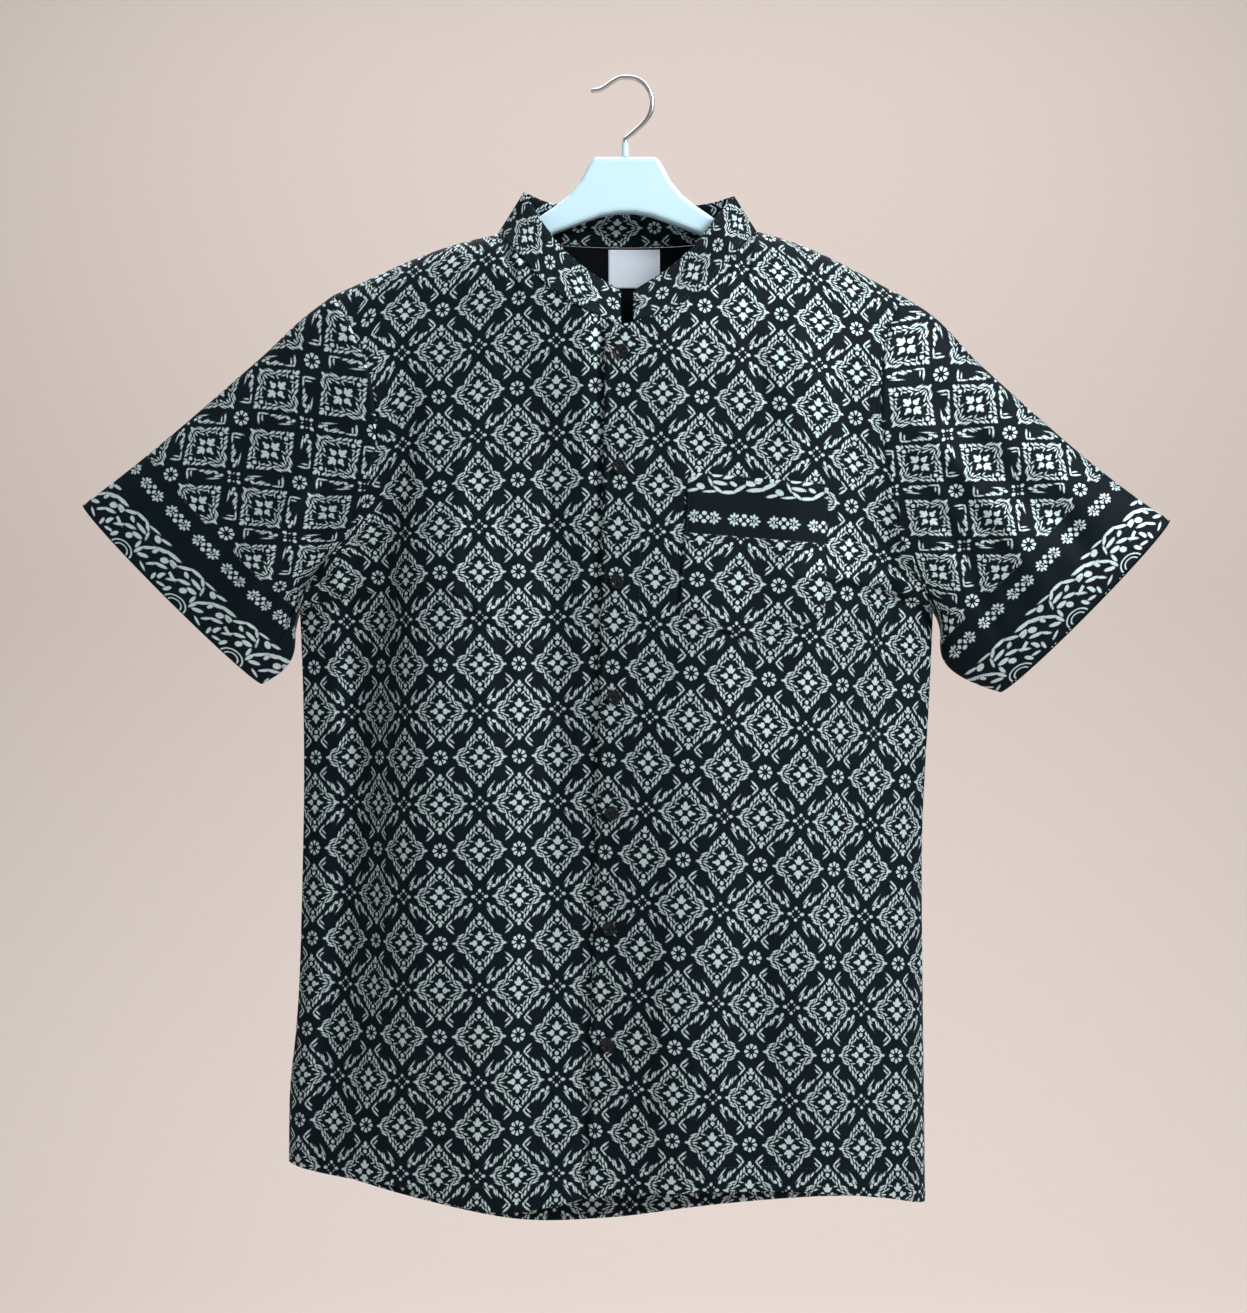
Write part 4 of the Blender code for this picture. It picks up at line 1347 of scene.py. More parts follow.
class Value:
    """A node's output that varies over a surface; sums and products on it add Math nodes."""

    def __init__(self, board: Board, socket: Socket) -> None:
        """Wrap an output socket of a board's material."""
        self.board = board
        self.socket = socket

    def beside(self, number: int) -> Value:
        """Give another output of the same node."""
        return Value(self.board, self.socket.node.outputs[number])

    def math(self, operation: str, *others: Link) -> Value:
        """Put this value and others, in the node's order, through one Math node."""
        values = dict(enumerate((self, *others)))
        return self.board.node("ShaderNodeMath", {"operation": operation}, values)

    def __rsub__(self, other: Link) -> Value:
        """Take away from a number."""
        return self.board.node("ShaderNodeMath", {"operation": "SUBTRACT"}, {0: other, 1: self})

    # Each of these is one Math node on this value and others
    __add__ = partialmethod(math, "ADD")
    __sub__ = partialmethod(math, "SUBTRACT")
    __mul__ = partialmethod(math, "MULTIPLY")
    __abs__ = partialmethod(math, "ABSOLUTE")
    times_plus = partialmethod(math, "MULTIPLY_ADD")
    over = partialmethod(math, "GREATER_THAN")
    most = partialmethod(math, "MAXIMUM")
    least = partialmethod(math, "MINIMUM")

    def eased(self, start: float, end: float) -> Value:
        """Ease from 0 to 1 as the value goes from one number to another."""
        return self.board.node(
            "ShaderNodeMapRange",
            {"interpolation_type": "SMOOTHSTEP"},
            {"Value": self, "From Min": start, "From Max": end},
        )


class Board:
    """A new material and the nodes on it."""

    def __init__(self, name: str) -> None:
        """Start a material with its shader and output.

        Args:
            name: the material's name.
        """
        self.material = bpy.data.materials.new(name)
        self.material.use_nodes = True
        self.tree = self.material.node_tree
        self.tree.nodes.clear()
        self.shader = self.tree.nodes.new("ShaderNodeBsdfPrincipled")
        output = self.tree.nodes.new("ShaderNodeOutputMaterial")
        self.tree.links.new(self.shader.outputs["BSDF"], output.inputs["Surface"])

    def node(
        self, kind: str, settings: dict[str, Any] | None = None,
        inputs: dict[Any, Link] | None = None, output: str | int = 0,
    ) -> Value:
        """Add a node.

        Args:
            kind: the node's type.
            settings: its properties.
            inputs: values or links for its sockets, by name or number.
            output: the output wanted.

        Returns:
            That output.
        """
        made = self.tree.nodes.new(kind)
        for key, value in (settings or {}).items():
            setattr(made, key, value)
        for key, value in (inputs or {}).items():
            self.feed(made.inputs[key], value)
        return Value(self, made.outputs[output])

    def feed(self, socket: Socket, value: Link) -> None:
        """Link a value to a socket, or set the socket to it."""
        if isinstance(value, Value):
            self.tree.links.new(value.socket, socket)
        else:
            socket.default_value = value

    def dress(self, **sockets: Link) -> None:
        """Feed the shader's sockets, an underscore in a name standing for a space."""
        for name, value in sockets.items():
            self.feed(self.shader.inputs[name.replace("_", " ")], value)

    def mix(self, factor: Link, first: Link, second: Link, blend: str = "MIX") -> Value:
        """Mix two colours.

        Args:
            factor: 0 for the first colour, 1 for the second.
            first: the first colour.
            second: the second colour.
            blend: how the second goes over the first.

        Returns:
            The mixed colour.
        """
        inputs: dict[Any, Link] = {0: factor}
        for socket, colour in ((6, first), (7, second)):
            inputs[socket] = (*colour, 1) if isinstance(colour, tuple) else colour
        return self.node("ShaderNodeMix", {"data_type": "RGBA", "blend_type": blend}, inputs, 2)

    def bump(self, height: Value, distance: float, strength: float = 1.0) -> Value:
        """Turn a height into a normal; the distance in metres is what a height of 1 stands for."""
        return self.node(
            "ShaderNodeBump", {}, {"Height": height, "Distance": distance, "Strength": strength}
        )

    def object_place(self) -> Value:
        """Give the place on the object itself, in metres."""
        return self.node("ShaderNodeTexCoord", output="Object")

    def on_map(self, name: str) -> Value:
        """Give the place on one of the piece's maps, in metres."""
        return self.node("ShaderNodeUVMap", {"uv_map": name})

    def split(self, place: Value) -> Value:
        """Give a place's X; its Y is beside it."""
        return self.node("ShaderNodeSeparateXYZ", {}, {0: place})

    def join(self, x: Value, y: Value) -> Value:
        """Make a place from its X and Y."""
        return self.node("ShaderNodeCombineXYZ", {}, {0: x, 1: y})

    def ribs(self, place: Value, way: str, scale: float, stray: float, finer: float = 1.0) -> Value:
        """Give straight ribs, from 0 to 1, that follow each other in a direction and stray a little."""
        inputs = {"Vector": place, "Scale": scale, "Distortion": stray, "Detail": 1, "Detail Scale": finer}
        return self.node("ShaderNodeTexWave", {"wave_type": "BANDS", "bands_direction": way}, inputs, "Fac")

    def noise(self, place: Value, scale: float, detail: float = 2.0) -> Value:
        """Give a soft noise round 0.5, by its lumps to a metre and its number of finer layers."""
        inputs = {"Vector": place, "Scale": scale, "Detail": detail}
        return self.node("ShaderNodeTexNoise", {}, inputs, "Fac")


@dataclass(frozen=True)
class PlainFinish:
    """A plastic, metal or painted finish with faint unevenness and wear."""

    name: str
    colour: Triple
    roughness: float
    metallic: float = 0.0
    coat: float = 0.0
    shine: float = 0.5
    mottle: float = 0.05
    grain: float = 900.0
    relief: float = 0.00002

    def make(self) -> Material:
        """Build the finish's material."""
        board = Board(self.name)
        place = board.object_place()
        broad = board.noise(place, 35.0, 3.0)
        fine = board.noise(place, self.grain, 2.0)
        darker = tuple(value * (1 - 2 * self.mottle) for value in self.colour)
        lighter = tuple(min(value * (1 + self.mottle), 1.0) for value in self.colour)
        board.dress(
            Base_Color=board.mix(broad, darker, lighter),
            Roughness=fine.times_plus(0.12, self.roughness - 0.06),
            Normal=board.bump(fine, self.relief, 0.6),
            Metallic=self.metallic,
            Coat_Weight=self.coat,
            Specular_IOR_Level=self.shine,
        )
        return board.material


class Spot(NamedTuple):
    """One blob of a woven motif: its middle, half sizes and turn, in mm and degrees."""

    x: float
    y: float
    a: float
    b: float
    turn: float = 0.0


# A quarter of the large diamond, its middle at 0, 0: petals, spade, strokes of the rim, fan
DIAMOND_SPOTS = table(
    Spot,
    (0, 5.8, 1.6, 2.9), (2, 4.5, 1.8, 0.95, 42), (0.8, 3.2, 1.3, 1), (3.8, 0, 1.8, 2.2),
    (6.2, 0, 1.6, 0.95), (0, 20.6, 1.4, 2.2), (1.9, 18.8, 1.5, 0.65, 42), (0, 15.3, 1.45, 1.5),
    (4.4, 16.1, 0.75, 1.9, 8), (2.9, 13.2, 1.5, 0.5, 38), (6.7, 13.8, 0.8, 2.2, 15),
    (4.7, 11.4, 0.5, 1.6, 28), (9.4, 10.2, 0.8, 2.3, 15), (7.3, 9.2, 0.6, 1.7, 28),
    (6.8, 6.7, 1.7, 0.45, 8), (10.7, 6.4, 0.55, 1.6, 20), (9.3, 3.9, 1.6, 0.6, -24),
    (13.9, 6.1, 2.6, 0.65, -24), (15.3, 3.9, 2.2, 0.6, -28), (12.1, 4.6, 0.9, 0.5, -50),
    (12.7, 2.3, 2, 0.5, -26), (13, 0, 1.9, 0.6), (18.4, 0, 2.1, 1), (17, 1.4, 1.4, 0.7, -32),
)
# The leaves between a star at 0, 35.3 and a rosette at 30.1, 0, and a quarter of that star
LEAF_SPOTS = table(
    Spot,
    (8.3, 22.6, 0.55, 4.2, 36), (8.1, 25.6, 0.8, 1.9, 30), (6.8, 28.9, 1.1, 1.6, 24),
    (10.6, 27.2, 1.7, 1.15, -12), (13.4, 23.8, 0.75, 3, 16), (15.3, 22.5, 0.7, 2.4, 12),
    (18, 20.1, 0.75, 2, 34), (22.8, 15.8, 2.8, 0.6, -47), (24.8, 13, 0.75, 1.2, 0),
    (22.4, 9.8, 3.4, 0.75, 42), (21.4, 12.6, 2.2, 0.55, 44), (0, 30.9, 1.15, 1.3), (4.8, 35.3, 1.6, 1.2),
    (2.3, 33.2, 0.5, 0.6),
)
# A quarter of a border flower
FLOWER_SPOTS = table(
    Spot,
    (0, 3.1, 1.8, 1.5), (2.8, 0, 1.2, 1.7), (5.5, 2.7, 0.9, 1.4, 40), (7.6, 3.5, 0.9, 1.6, 0),
    (9.4, 2.2, 0.9, 1.5, -52), (10.9, 0, 1.6, 0.8), (7.4, 0.7, 0.6, 0.6), (5.2, 0, 0.6, 0.6),
)
# Leaves and brush-like stems of the border's vine, over one repeat
VINE_SPOTS = table(
    Spot,
    (-22, 27.8, 7.3, 1.5, -8), (-12.5, 24.2, 6.8, 1.6, -28), (-4.8, 18, 5.2, 1.3, -48),
    (-27.5, 23.2, 4.6, 2.1, 8), (-20.6, 20.4, 3.2, 2.5, -30), (27.4, 15.9, 6, 1.2, 16),
    (-22.2, 15.4, 5.2, 1.4, -22), (-16.4, 10.9, 3.6, 1.2, -52), (-7.2, 10.8, 4.4, 1.6, -28),
    (-1.6, 11.6, 1.5, 3.8, 8), (2, 14.2, 1.4, 3.4, -14), (-9.8, 31.4, 4.4, 1.2, -14),
    (-4.2, 28.2, 3.3, 2.2, 20), (3, 31.6, 5.2, 0.9, -6), (2.9, 24, 3.9, 1, 62), (9, 29.6, 4.4, 1.2, 34),
    (17.2, 31.2, 5.6, 1.3, -4), (25.6, 27.8, 5.4, 1.4, -34), (10.2, 24.6, 5.6, 1.5, 6),
    (8, 18.4, 4.3, 1.8, -8), (12, 13.8, 2.8, 2.4, -35), (17.2, 19.2, 4.7, 1.5, -22),
    (24, 14, 4.4, 1.2, -44), (20.6, 24.6, 2.9, 1.5, 24), (-29, 10.2, 2.2, 3.4, 14),
    (-25.4, 5.4, 1.3, 3, -20), (-14, 4.6, 4.2, 0.9, 18), (20.4, 6.2, 1.7, 3.2, 22),
    (26.4, 5, 3.6, 1.1, -14), (-10.4, 20.2, 1.6, 2.4, 12),
)


class Arc(NamedTuple):
    """A curled stem of the border's vine: part of an oval line, cut off below a height."""

    x: float
    y: float
    a: float
    b: float
    thick: float
    above: float


VINE_ARCS = table(
    Arc,
    (7, 0.5, 10, 7.6, 0.55, 1), (7, 0.5, 6.4, 4.8, 0.5, 1),
)


class Weave(Enum):
    """A stretch of the cloth: its repeat, the repeat past the woven border, or the border."""

    REPEAT = 0
    PAST_BORDER = 1
    BORDER = 2


@dataclass(frozen=True)
class BrocadeFinish:
    """The shirt's cloth: a pale repeat of diamonds, rosettes and leaves woven on black."""

    name: str
    weave: Weave = Weave.REPEAT
    width: float = 60.3
    height: float = 70.6
    flower_row: float = 51.5
    repeat_start: float = 64.5
    ragged: float = 1.2
    thinner: float = -0.58
    soft_edge: tuple[float, float] = (-0.22, 0.28)
    ground: Triple = (0.0016, 0.0045, 0.0068)
    pale: Triple = (0.50, 0.65, 0.69)
    paler: Triple = (0.80, 0.94, 0.97)

    def make(self) -> Material:
        """Build the cloth's material from its maps of the flat cloth."""
        board = Board(self.name)
        flat = board.on_map("flat_cloth")
        place = self.in_mm(board, flat)
        if self.weave is Weave.REPEAT:
            reach = self.field(board, place)
        else:
            along = board.split(self.in_mm(board, board.on_map("border")))
            if self.weave is Weave.BORDER:
                reach = self.border(board, along)
            else:
                reach = self.field(board, place).least(along.beside(1) - self.repeat_start)
        yarn = board.noise(flat, YARN_SCALE, 2.0)
        patch = board.noise(flat, 14.0, 3.0)
        woven = (reach + yarn.times_plus(self.ragged, self.thinner)).eased(*self.soft_edge)
        twill = board.ribs(place, "DIAGONAL", 0.42, 1.6, 1.5)
        bright = board.mix(yarn * 1.1, self.pale, self.paler)
        tired = board.mix(patch, (0.78, 0.78, 0.80), (1.05, 1.08, 1.08))
        bright = board.mix(1.0, bright, tired, "MULTIPLY")
        bright = board.mix(twill * 0.55, bright, tuple(value * 0.3 for value in self.pale))
        dark = board.mix(yarn, self.ground, tuple(value * 2.4 for value in self.ground))
        board.dress(
            Base_Color=board.mix(woven, dark, bright),
            Roughness=woven.times_plus(-0.08, 0.58),
            Metallic=woven * 0.36,
            Normal=board.bump(twill, 0.0001, 0.5),
            Specular_IOR_Level=0.06,
        )
        return board.material

    @staticmethod
    def in_mm(board: Board, place: Value) -> Value:
        """Turn a place in metres into millimetres."""
        return board.node("ShaderNodeVectorMath", {"operation": "SCALE"}, {0: place, "Scale": 1000.0})

    @staticmethod
    def oval(board: Board, place: Value, spot: Spot | Arc, turn: float = 0.0) -> Value:
        """Give how far out a place is on an oval's scale: 0 at its middle, 1 at its line."""
        inner = board.node(
            "ShaderNodeMapping",
            {"vector_type": "TEXTURE"},
            {
                "Vector": place,
                "Location": (spot.x, spot.y, 0),
                "Rotation": (0, 0, math.radians(turn)),
                "Scale": (spot.a, spot.b, 1),
            },
        )
        return board.node("ShaderNodeVectorMath", {"operation": "LENGTH"}, {0: inner}, "Value")

    def blobs(self, board: Board, place: Value, spots: Sequence[Spot]) -> Value:
        """Give how far inside the nearest of several blobs a place is, in millimetres.

        Args:
            board: the material.
            place: the place.
            spots: the blobs.

        Returns:
            The distance, negative outside.
        """
        total = None
        for spot in spots:
            size = min(spot.a, spot.b)
            inside = self.oval(board, place, spot, spot.turn).times_plus(-size, size)
            total = inside if total is None else total.most(inside)
        return total

    def field(self, board: Board, place: Value) -> Value:
        """Draw the repeat, folded over its mirror lines.

        Args:
            board: the material.
            place: the place on the flat cloth, in millimetres.

        Returns:
            How far inside the pale weave each place is, in millimetres.
        """
        half_w, half_h = self.width / 2, self.height / 2
        split = board.split(place)
        x = split.math("PINGPONG", half_w)
        y = split.beside(1).math("PINGPONG", half_h)
        cell = board.join(x, y)
        far = x.times_plus(1 / half_w, y * (1 / half_h)).over(1.0)
        turned_x = x + far * x.times_plus(-2.0, half_w)
        turned_y = y + far * y.times_plus(-2.0, half_h)
        corner = board.join(turned_x, turned_y)
        reach = self.blobs(board, corner, DIAMOND_SPOTS)
        reach = reach.most(self.blobs(board, cell, LEAF_SPOTS))
        return reach.most(self.rosette(x - half_w, y))

    @staticmethod
    def rosette(x: Value, y: Value) -> Value:
        """Draw the eight-petalled rosette, its middle at 0, 0.

        Args:
            x: across from its middle.
            y: up from its middle.

        Returns:
            How far inside it the place is, in millimetres.
        """
        angle = y.math("ARCTAN2", x)
        radius = (x * x + y * y).math("SQRT")
        petal = abs((angle * 4.0).math("COSINE"))
        outer = petal * 1.2 - radius + 4.5
        return outer.least(radius - 2.3).least(radius * petal - 2.1)

    def border(self, board: Board, along: Value) -> Value:
        """Draw the woven border: a row of flowers, and leafy stems beside the cloth's edge.

        Args:
            board: the material.
            along: the place along and in from that edge, in millimetres.

        Returns:
            How far inside the pale weave each place is, in millimetres.
        """
        inward = along.beside(1)
        folded_x = along.math("PINGPONG", self.width / 4)
        from_row = abs(inward - self.flower_row)
        folded = board.join(folded_x, from_row)
        flowers = self.blobs(board, folded, FLOWER_SPOTS)
        vine_x = along.math("WRAP", self.width / 2, -self.width / 2)
        vine_place = board.join(vine_x, inward)
        vine = self.blobs(board, vine_place, VINE_SPOTS)
        for arc in VINE_ARCS:
            size = (arc.a + arc.b) / 2
            line = abs(self.oval(board, vine_place, arc).times_plus(size, -size))
            vine = vine.most((arc.thick - line).least(inward - arc.above))
        return vine.most(flowers)


@dataclass(frozen=True)
class ReverseFinish:
    """The cloth's other side: black with faint floats of the pale yarn."""

    name: str = "cloth_reverse"

    def make(self) -> Material:
        """Build the reverse's material."""
        board = Board(self.name)
        flat = board.on_map("flat_cloth")
        yarn = board.noise(flat, YARN_SCALE, 2.0)
        broad = board.noise(flat, 60.0, 3.0)
        rib = board.ribs(flat, "DIAGONAL", 380.0, 1.0)
        board.dress(
            Base_Color=board.mix(yarn * broad, (0.0012, 0.002, 0.0028), (0.008, 0.012, 0.016)),
            Roughness=broad.times_plus(0.15, 0.6),
            Normal=board.bump(rib, 0.0001, 0.5),
            Specular_IOR_Level=0.03,
        )
        return board.material


@dataclass(frozen=True)
class RibbonFinish:
    """The label's plain white satin ribbon, with its fine crosswise ribs."""

    name: str = "label_satin"
    colour: Triple = (0.74, 0.83, 0.95)

    def make(self) -> Material:
        """Build the ribbon's material."""
        board = Board(self.name)
        flat = board.on_map("flat_cloth")
        yarn = board.noise(flat, 1200.0, 2.0)
        rib = board.ribs(flat, "Y", 260.0, 0.4)
        darker = tuple(value * 0.86 for value in self.colour)
        board.dress(
            Base_Color=board.mix(yarn, darker, self.colour),
            Roughness=yarn.times_plus(0.1, 0.4),
            Normal=board.bump(rib, 0.00008, 0.5),
        )
        return board.material


@dataclass
class Buttons:
    """Seven round four-hole buttons down the left front, each sewn on."""

    count: int = 7
    radius: float = 5.5
    thick: float = 2.2
    first_z: float = -221.0
    pitch: float = 88.0
    from_edge: float = 12.5
    lie_gap: float = 0.6
    hole: float = 0.65
    hole_out: float = 1.35
    sides: int = 48
    spin: float = 37
    sharp: float = 35
    thread_radius: float = 0.2
    lane: float = 0.24

    def profile(self) -> list[tuple[float, float]]:
        """Give a button's section: distance from its axis and height, top middle first."""
        half = self.thick / 2
        r = self.radius
        return [
            (0.0, half - 0.75), (2.3, half - 0.75), (2.9, half - 0.66), (3.3, half - 0.38),
            (3.7, half - 0.10), (4.2, half), (4.8, half - 0.05), (5.2, half - 0.35), (r, half - 0.85),
            (r, -half + 0.75), (5.2, -half + 0.25), (4.6, -half), (0.0, -half),
        ]

    def mesh(self) -> bpy.types.Mesh:
        """Turn one button round its axis and drill its four holes."""
        mesh = bmesh.new()
        rings: list[list[bmesh.types.BMVert]] = []
        for radius, height in self.profile():
            ring = []
            for step in range(self.sides if radius else 1):
                angle = 2 * math.pi * step / self.sides
                spot = (radius * math.cos(angle) * MM, radius * math.sin(angle) * MM, height * MM)
                ring.append(mesh.verts.new(spot))
            rings.append(ring)
        for upper, lower in zip(rings, rings[1:]):
            for step in range(self.sides):
                spots = ((upper, step), (lower, step), (lower, step + 1), (upper, step + 1))
                corners = (ring[number % len(ring)] for ring, number in spots)
                mesh.faces.new(list(dict.fromkeys(corners)))
        bmesh.ops.recalc_face_normals(mesh, faces=mesh.faces)
        blank = mesh_object("button_blank", mesh)
        drill = bmesh.new()
        for x in (-1, 1):
            for y in (-1, 1):
                at = Matrix.Translation((x * self.hole_out * MM, y * self.hole_out * MM, 0))
                bmesh.ops.create_cone(
                    drill, cap_ends=True, segments=16, radius1=self.hole * MM,
                    radius2=self.hole * MM, depth=8 * MM, matrix=at,
                )
        cutter = mesh_object("button_drill", drill)
        cut = blank.modifiers.new("holes", "BOOLEAN")
        cut.operation = "DIFFERENCE"
        cut.solver = "EXACT"
        cut.object = cutter
        result = baked(blank)
        for item in (blank, cutter):
            bpy.data.objects.remove(item)
        return result

    def build(
        self, shape: GarmentShape, panel: Cloth, finish: Material, thread: Material
    ) -> list[Object]:
        """Sew the buttons on.

        Args:
            shape: the garment's shape.
            panel: the left front.
            finish: the buttons' finish.
            thread: the sewing thread's finish.

        Returns:
            The buttons and their threads.
        """
        tree = panel.tree()
        blank = self.mesh()
        pieces = []
        for number in range(1, self.count + 1):
            z = self.first_z - self.pitch * (number - 1)
            seat, normal = seat_on(tree, Place(shape.lap_edge_x(z) + self.from_edge, z))
            centre = seat + normal * (self.lie_gap + self.thick / 2)
            turn = Vector((0, 0, 1)).rotation_difference(normal).to_matrix().to_4x4()
            spin = Matrix.Rotation(math.radians(self.spin * number), 4, "Z")
            place = Matrix.Translation(centre * MM) @ turn @ spin
            mesh = blank.copy()
            mesh.transform(place)
            mesh.materials.clear()
            mesh.materials.append(finish)
            mesh.shade_smooth()
            mesh.set_sharp_from_angle(angle=math.radians(self.sharp))
            button = placed(f"shirt_button_{number}", mesh)
            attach(button, "root")
            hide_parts(f"button_{number}")
            pieces.append(button)
            pieces.append(self.thread(number, place, thread))
        bpy.data.meshes.remove(blank)
        return pieces

    def thread(self, number: int, place: Matrix, finish: Material) -> Object:
        """Make a button's two bars of thread and its shank under it.

        Args:
            number: the button's number.
            place: the button's place.
            finish: the thread's finish.

        Returns:
            The thread's object.
        """
        mesh = bmesh.new()
        bar = self.hole_out
        top = self.thick / 2 - 0.62
        rise = [(bar, -self.thick / 2 - 0.5), (bar, top - 0.1), (bar * 0.7, top + 0.12)]
        line = [*((-x, z) for x, z in rise), (0, top + 0.2), *reversed(rise)]
        for y in (-bar, bar):
            for lane in (-self.lane, self.lane):
                sweep(mesh, [Vector((x, y + lane, z)) for x, z in line], self.thread_radius, 8)
        mesh.transform(place)
        piece = mesh_object(f"button_thread_{number}", mesh)
        piece.data.materials.append(finish)
        piece.data.shade_smooth()
        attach(piece, "root")
        return piece


def placed(name: str, data: bpy.types.ID) -> Object:
    """Put an object into the scene.

    Args:
        name: its name.
        data: its mesh, light or camera.

    Returns:
        The object.
    """
    made = bpy.data.objects.new(name, data)
    bpy.context.scene.collection.objects.link(made)
    return made


def mesh_object(name: str, mesh: bmesh.types.BMesh) -> Object:
    """Turn a bmesh into an object of the scene.

    Args:
        name: the object's name.
        mesh: the bmesh, which is freed.

    Returns:
        The object.
    """
    data = bpy.data.meshes.new(name)
    mesh.to_mesh(data)
    mesh.free()
    return placed(name, data)


def baked(item: Object) -> bpy.types.Mesh:
    """Give an object's mesh with its modifiers applied."""
    return bpy.data.meshes.new_from_object(item.evaluated_get(bpy.context.evaluated_depsgraph_get()))


def log_pieces(pieces: Sequence[Object]) -> None:
    """Log how many faces each piece has."""
    for piece in pieces:
        LOG.info("%s: %d faces", piece.name, len(piece.data.polygons))


def sweep(mesh: bmesh.types.BMesh, path: Points, radius: float, sides: int) -> None:
    """Add a closed round tube along a path, in millimetres, with domed ends.

    Args:
        mesh: what it is added to.
        path: the tube's middle line.
        radius: the tube's radius.
        sides: how many sides it has.
    """
    ends = zip([path[0], *path], [*path[1:], path[-1]])
    tangents = [(after - before).normalized() for before, after in ends]
    side = tangents[0].orthogonal().normalized()
    stations = []
    for point, tangent in zip(path, tangents):
        side = (side - tangent * side.dot(tangent)).normalized()
        stations.append((point, tangent, side.copy(), radius))
    first, last = stations[0], stations[-1]
    for share in (0.5, 0.87):
        inward = math.sqrt(1 - share * share)
        stations.insert(0, (first[0] - first[1] * radius * share, first[1], first[2], radius * inward))
        stations.append((last[0] + last[1] * radius * share, last[1], last[2], radius * inward))
    rings = []
    for point, tangent, side, size in stations:
        other = tangent.cross(side)
        ring = []
        for step in range(sides):
            angle = 2 * math.pi * step / sides
            offset = side * math.cos(angle) + other * math.sin(angle)
            ring.append(mesh.verts.new((point + offset * size) * MM))
        rings.append(ring)
    made = []
    for low, high in zip(rings, rings[1:]):
        for step in range(sides):
            after = (step + 1) % sides
            made.append(mesh.faces.new((low[step], low[after], high[after], high[step])))
    made.append(mesh.faces.new(list(reversed(rings[0]))))
    made.append(mesh.faces.new(rings[-1]))
    bmesh.ops.recalc_face_normals(mesh, faces=made)


class StitchNodes:
    """The Geometry Nodes group that lays stitches along a line of mesh edges."""

    INPUTS = {
        "Line": "Geometry", "Pitch": "Float", "Stitch Size": "Vector", "Unevenness": "Float",
        "Seed": "Int", "Thread": "Material",
    }

    def __init__(self) -> None:
        """Build the group."""
        self.tree = bpy.data.node_groups.new("lay_stitches", "GeometryNodeTree")
        self.ids: dict[str, str] = {}
        sockets = self.tree.interface
        for name, kind in self.INPUTS.items():
            made = sockets.new_socket(name=name, in_out="INPUT", socket_type=f"NodeSocket{kind}")
            self.ids[name] = made.identifier
        sockets.new_socket(name="Stitches", in_out="OUTPUT", socket_type="NodeSocketGeometry")
        given = self.tree.nodes.new("NodeGroupInput").outputs
        curve = self.node("GeometryNodeMeshToCurve", {"Mesh": given["Line"]})
        points = self.node(
            "GeometryNodeResampleCurve", {"Curve": curve, "Length": given["Pitch"]}, mode="LENGTH"
        )
        out = self.node("GeometryNodeInputNamedAttribute", {"Name": "outward"}, data_type="FLOAT_VECTOR")
        turn = self.node(
            "FunctionNodeAxesToRotation",
            {0: self.node("GeometryNodeInputTangent", {}), 1: out},
            primary_axis="X",
            secondary_axis="Z",
        )
        least, most = (
            self.node("ShaderNodeMath", {0: 1.0, 1: given["Unevenness"]}, operation=operation)
            for operation in ("SUBTRACT", "ADD")
        )
        random = self.tree.nodes.new("FunctionNodeRandomValue")
        random.data_type = "FLOAT"
        numbers = [socket for socket in random.inputs if socket.enabled]
        for socket, value in zip(numbers, (least, most, None, given["Seed"])):
            if value is not None:
                self.tree.links.new(value, socket)
        share = next(socket for socket in random.outputs if socket.enabled)
        size = self.node(
            "ShaderNodeVectorMath", {0: given["Stitch Size"], "Scale": share}, operation="SCALE"
        )
        ball = self.node("GeometryNodeMeshUVSphere", {"Segments": 6, "Rings": 4, "Radius": 0.5})
        laid = self.node(
            "GeometryNodeInstanceOnPoints",
            {"Points": points, "Instance": ball, "Rotation": turn, "Scale": size},
        )
        real = self.node("GeometryNodeRealizeInstances", {0: laid})
        smooth = self.node("GeometryNodeSetShadeSmooth", {0: real})
        sewn = self.node("GeometryNodeSetMaterial", {"Geometry": smooth, "Material": given["Thread"]})
        self.tree.links.new(sewn, self.tree.nodes.new("NodeGroupOutput").inputs[0])

    def node(self, kind: str, inputs: dict[Any, Any], **settings: str) -> Socket:
        """Add a node.

        Args:
            kind: the node's type.
            inputs: outputs to link or values, by the name or number of its sockets.
            settings: its properties.

        Returns:
            Its first output.
        """
        made = self.tree.nodes.new(kind)
        for key, value in settings.items():
            setattr(made, key, value)
        for key, value in inputs.items():
            if isinstance(value, Socket):
                self.tree.links.new(value, made.inputs[key])
            else:
                made.inputs[key].default_value = value
        return made.outputs[0]


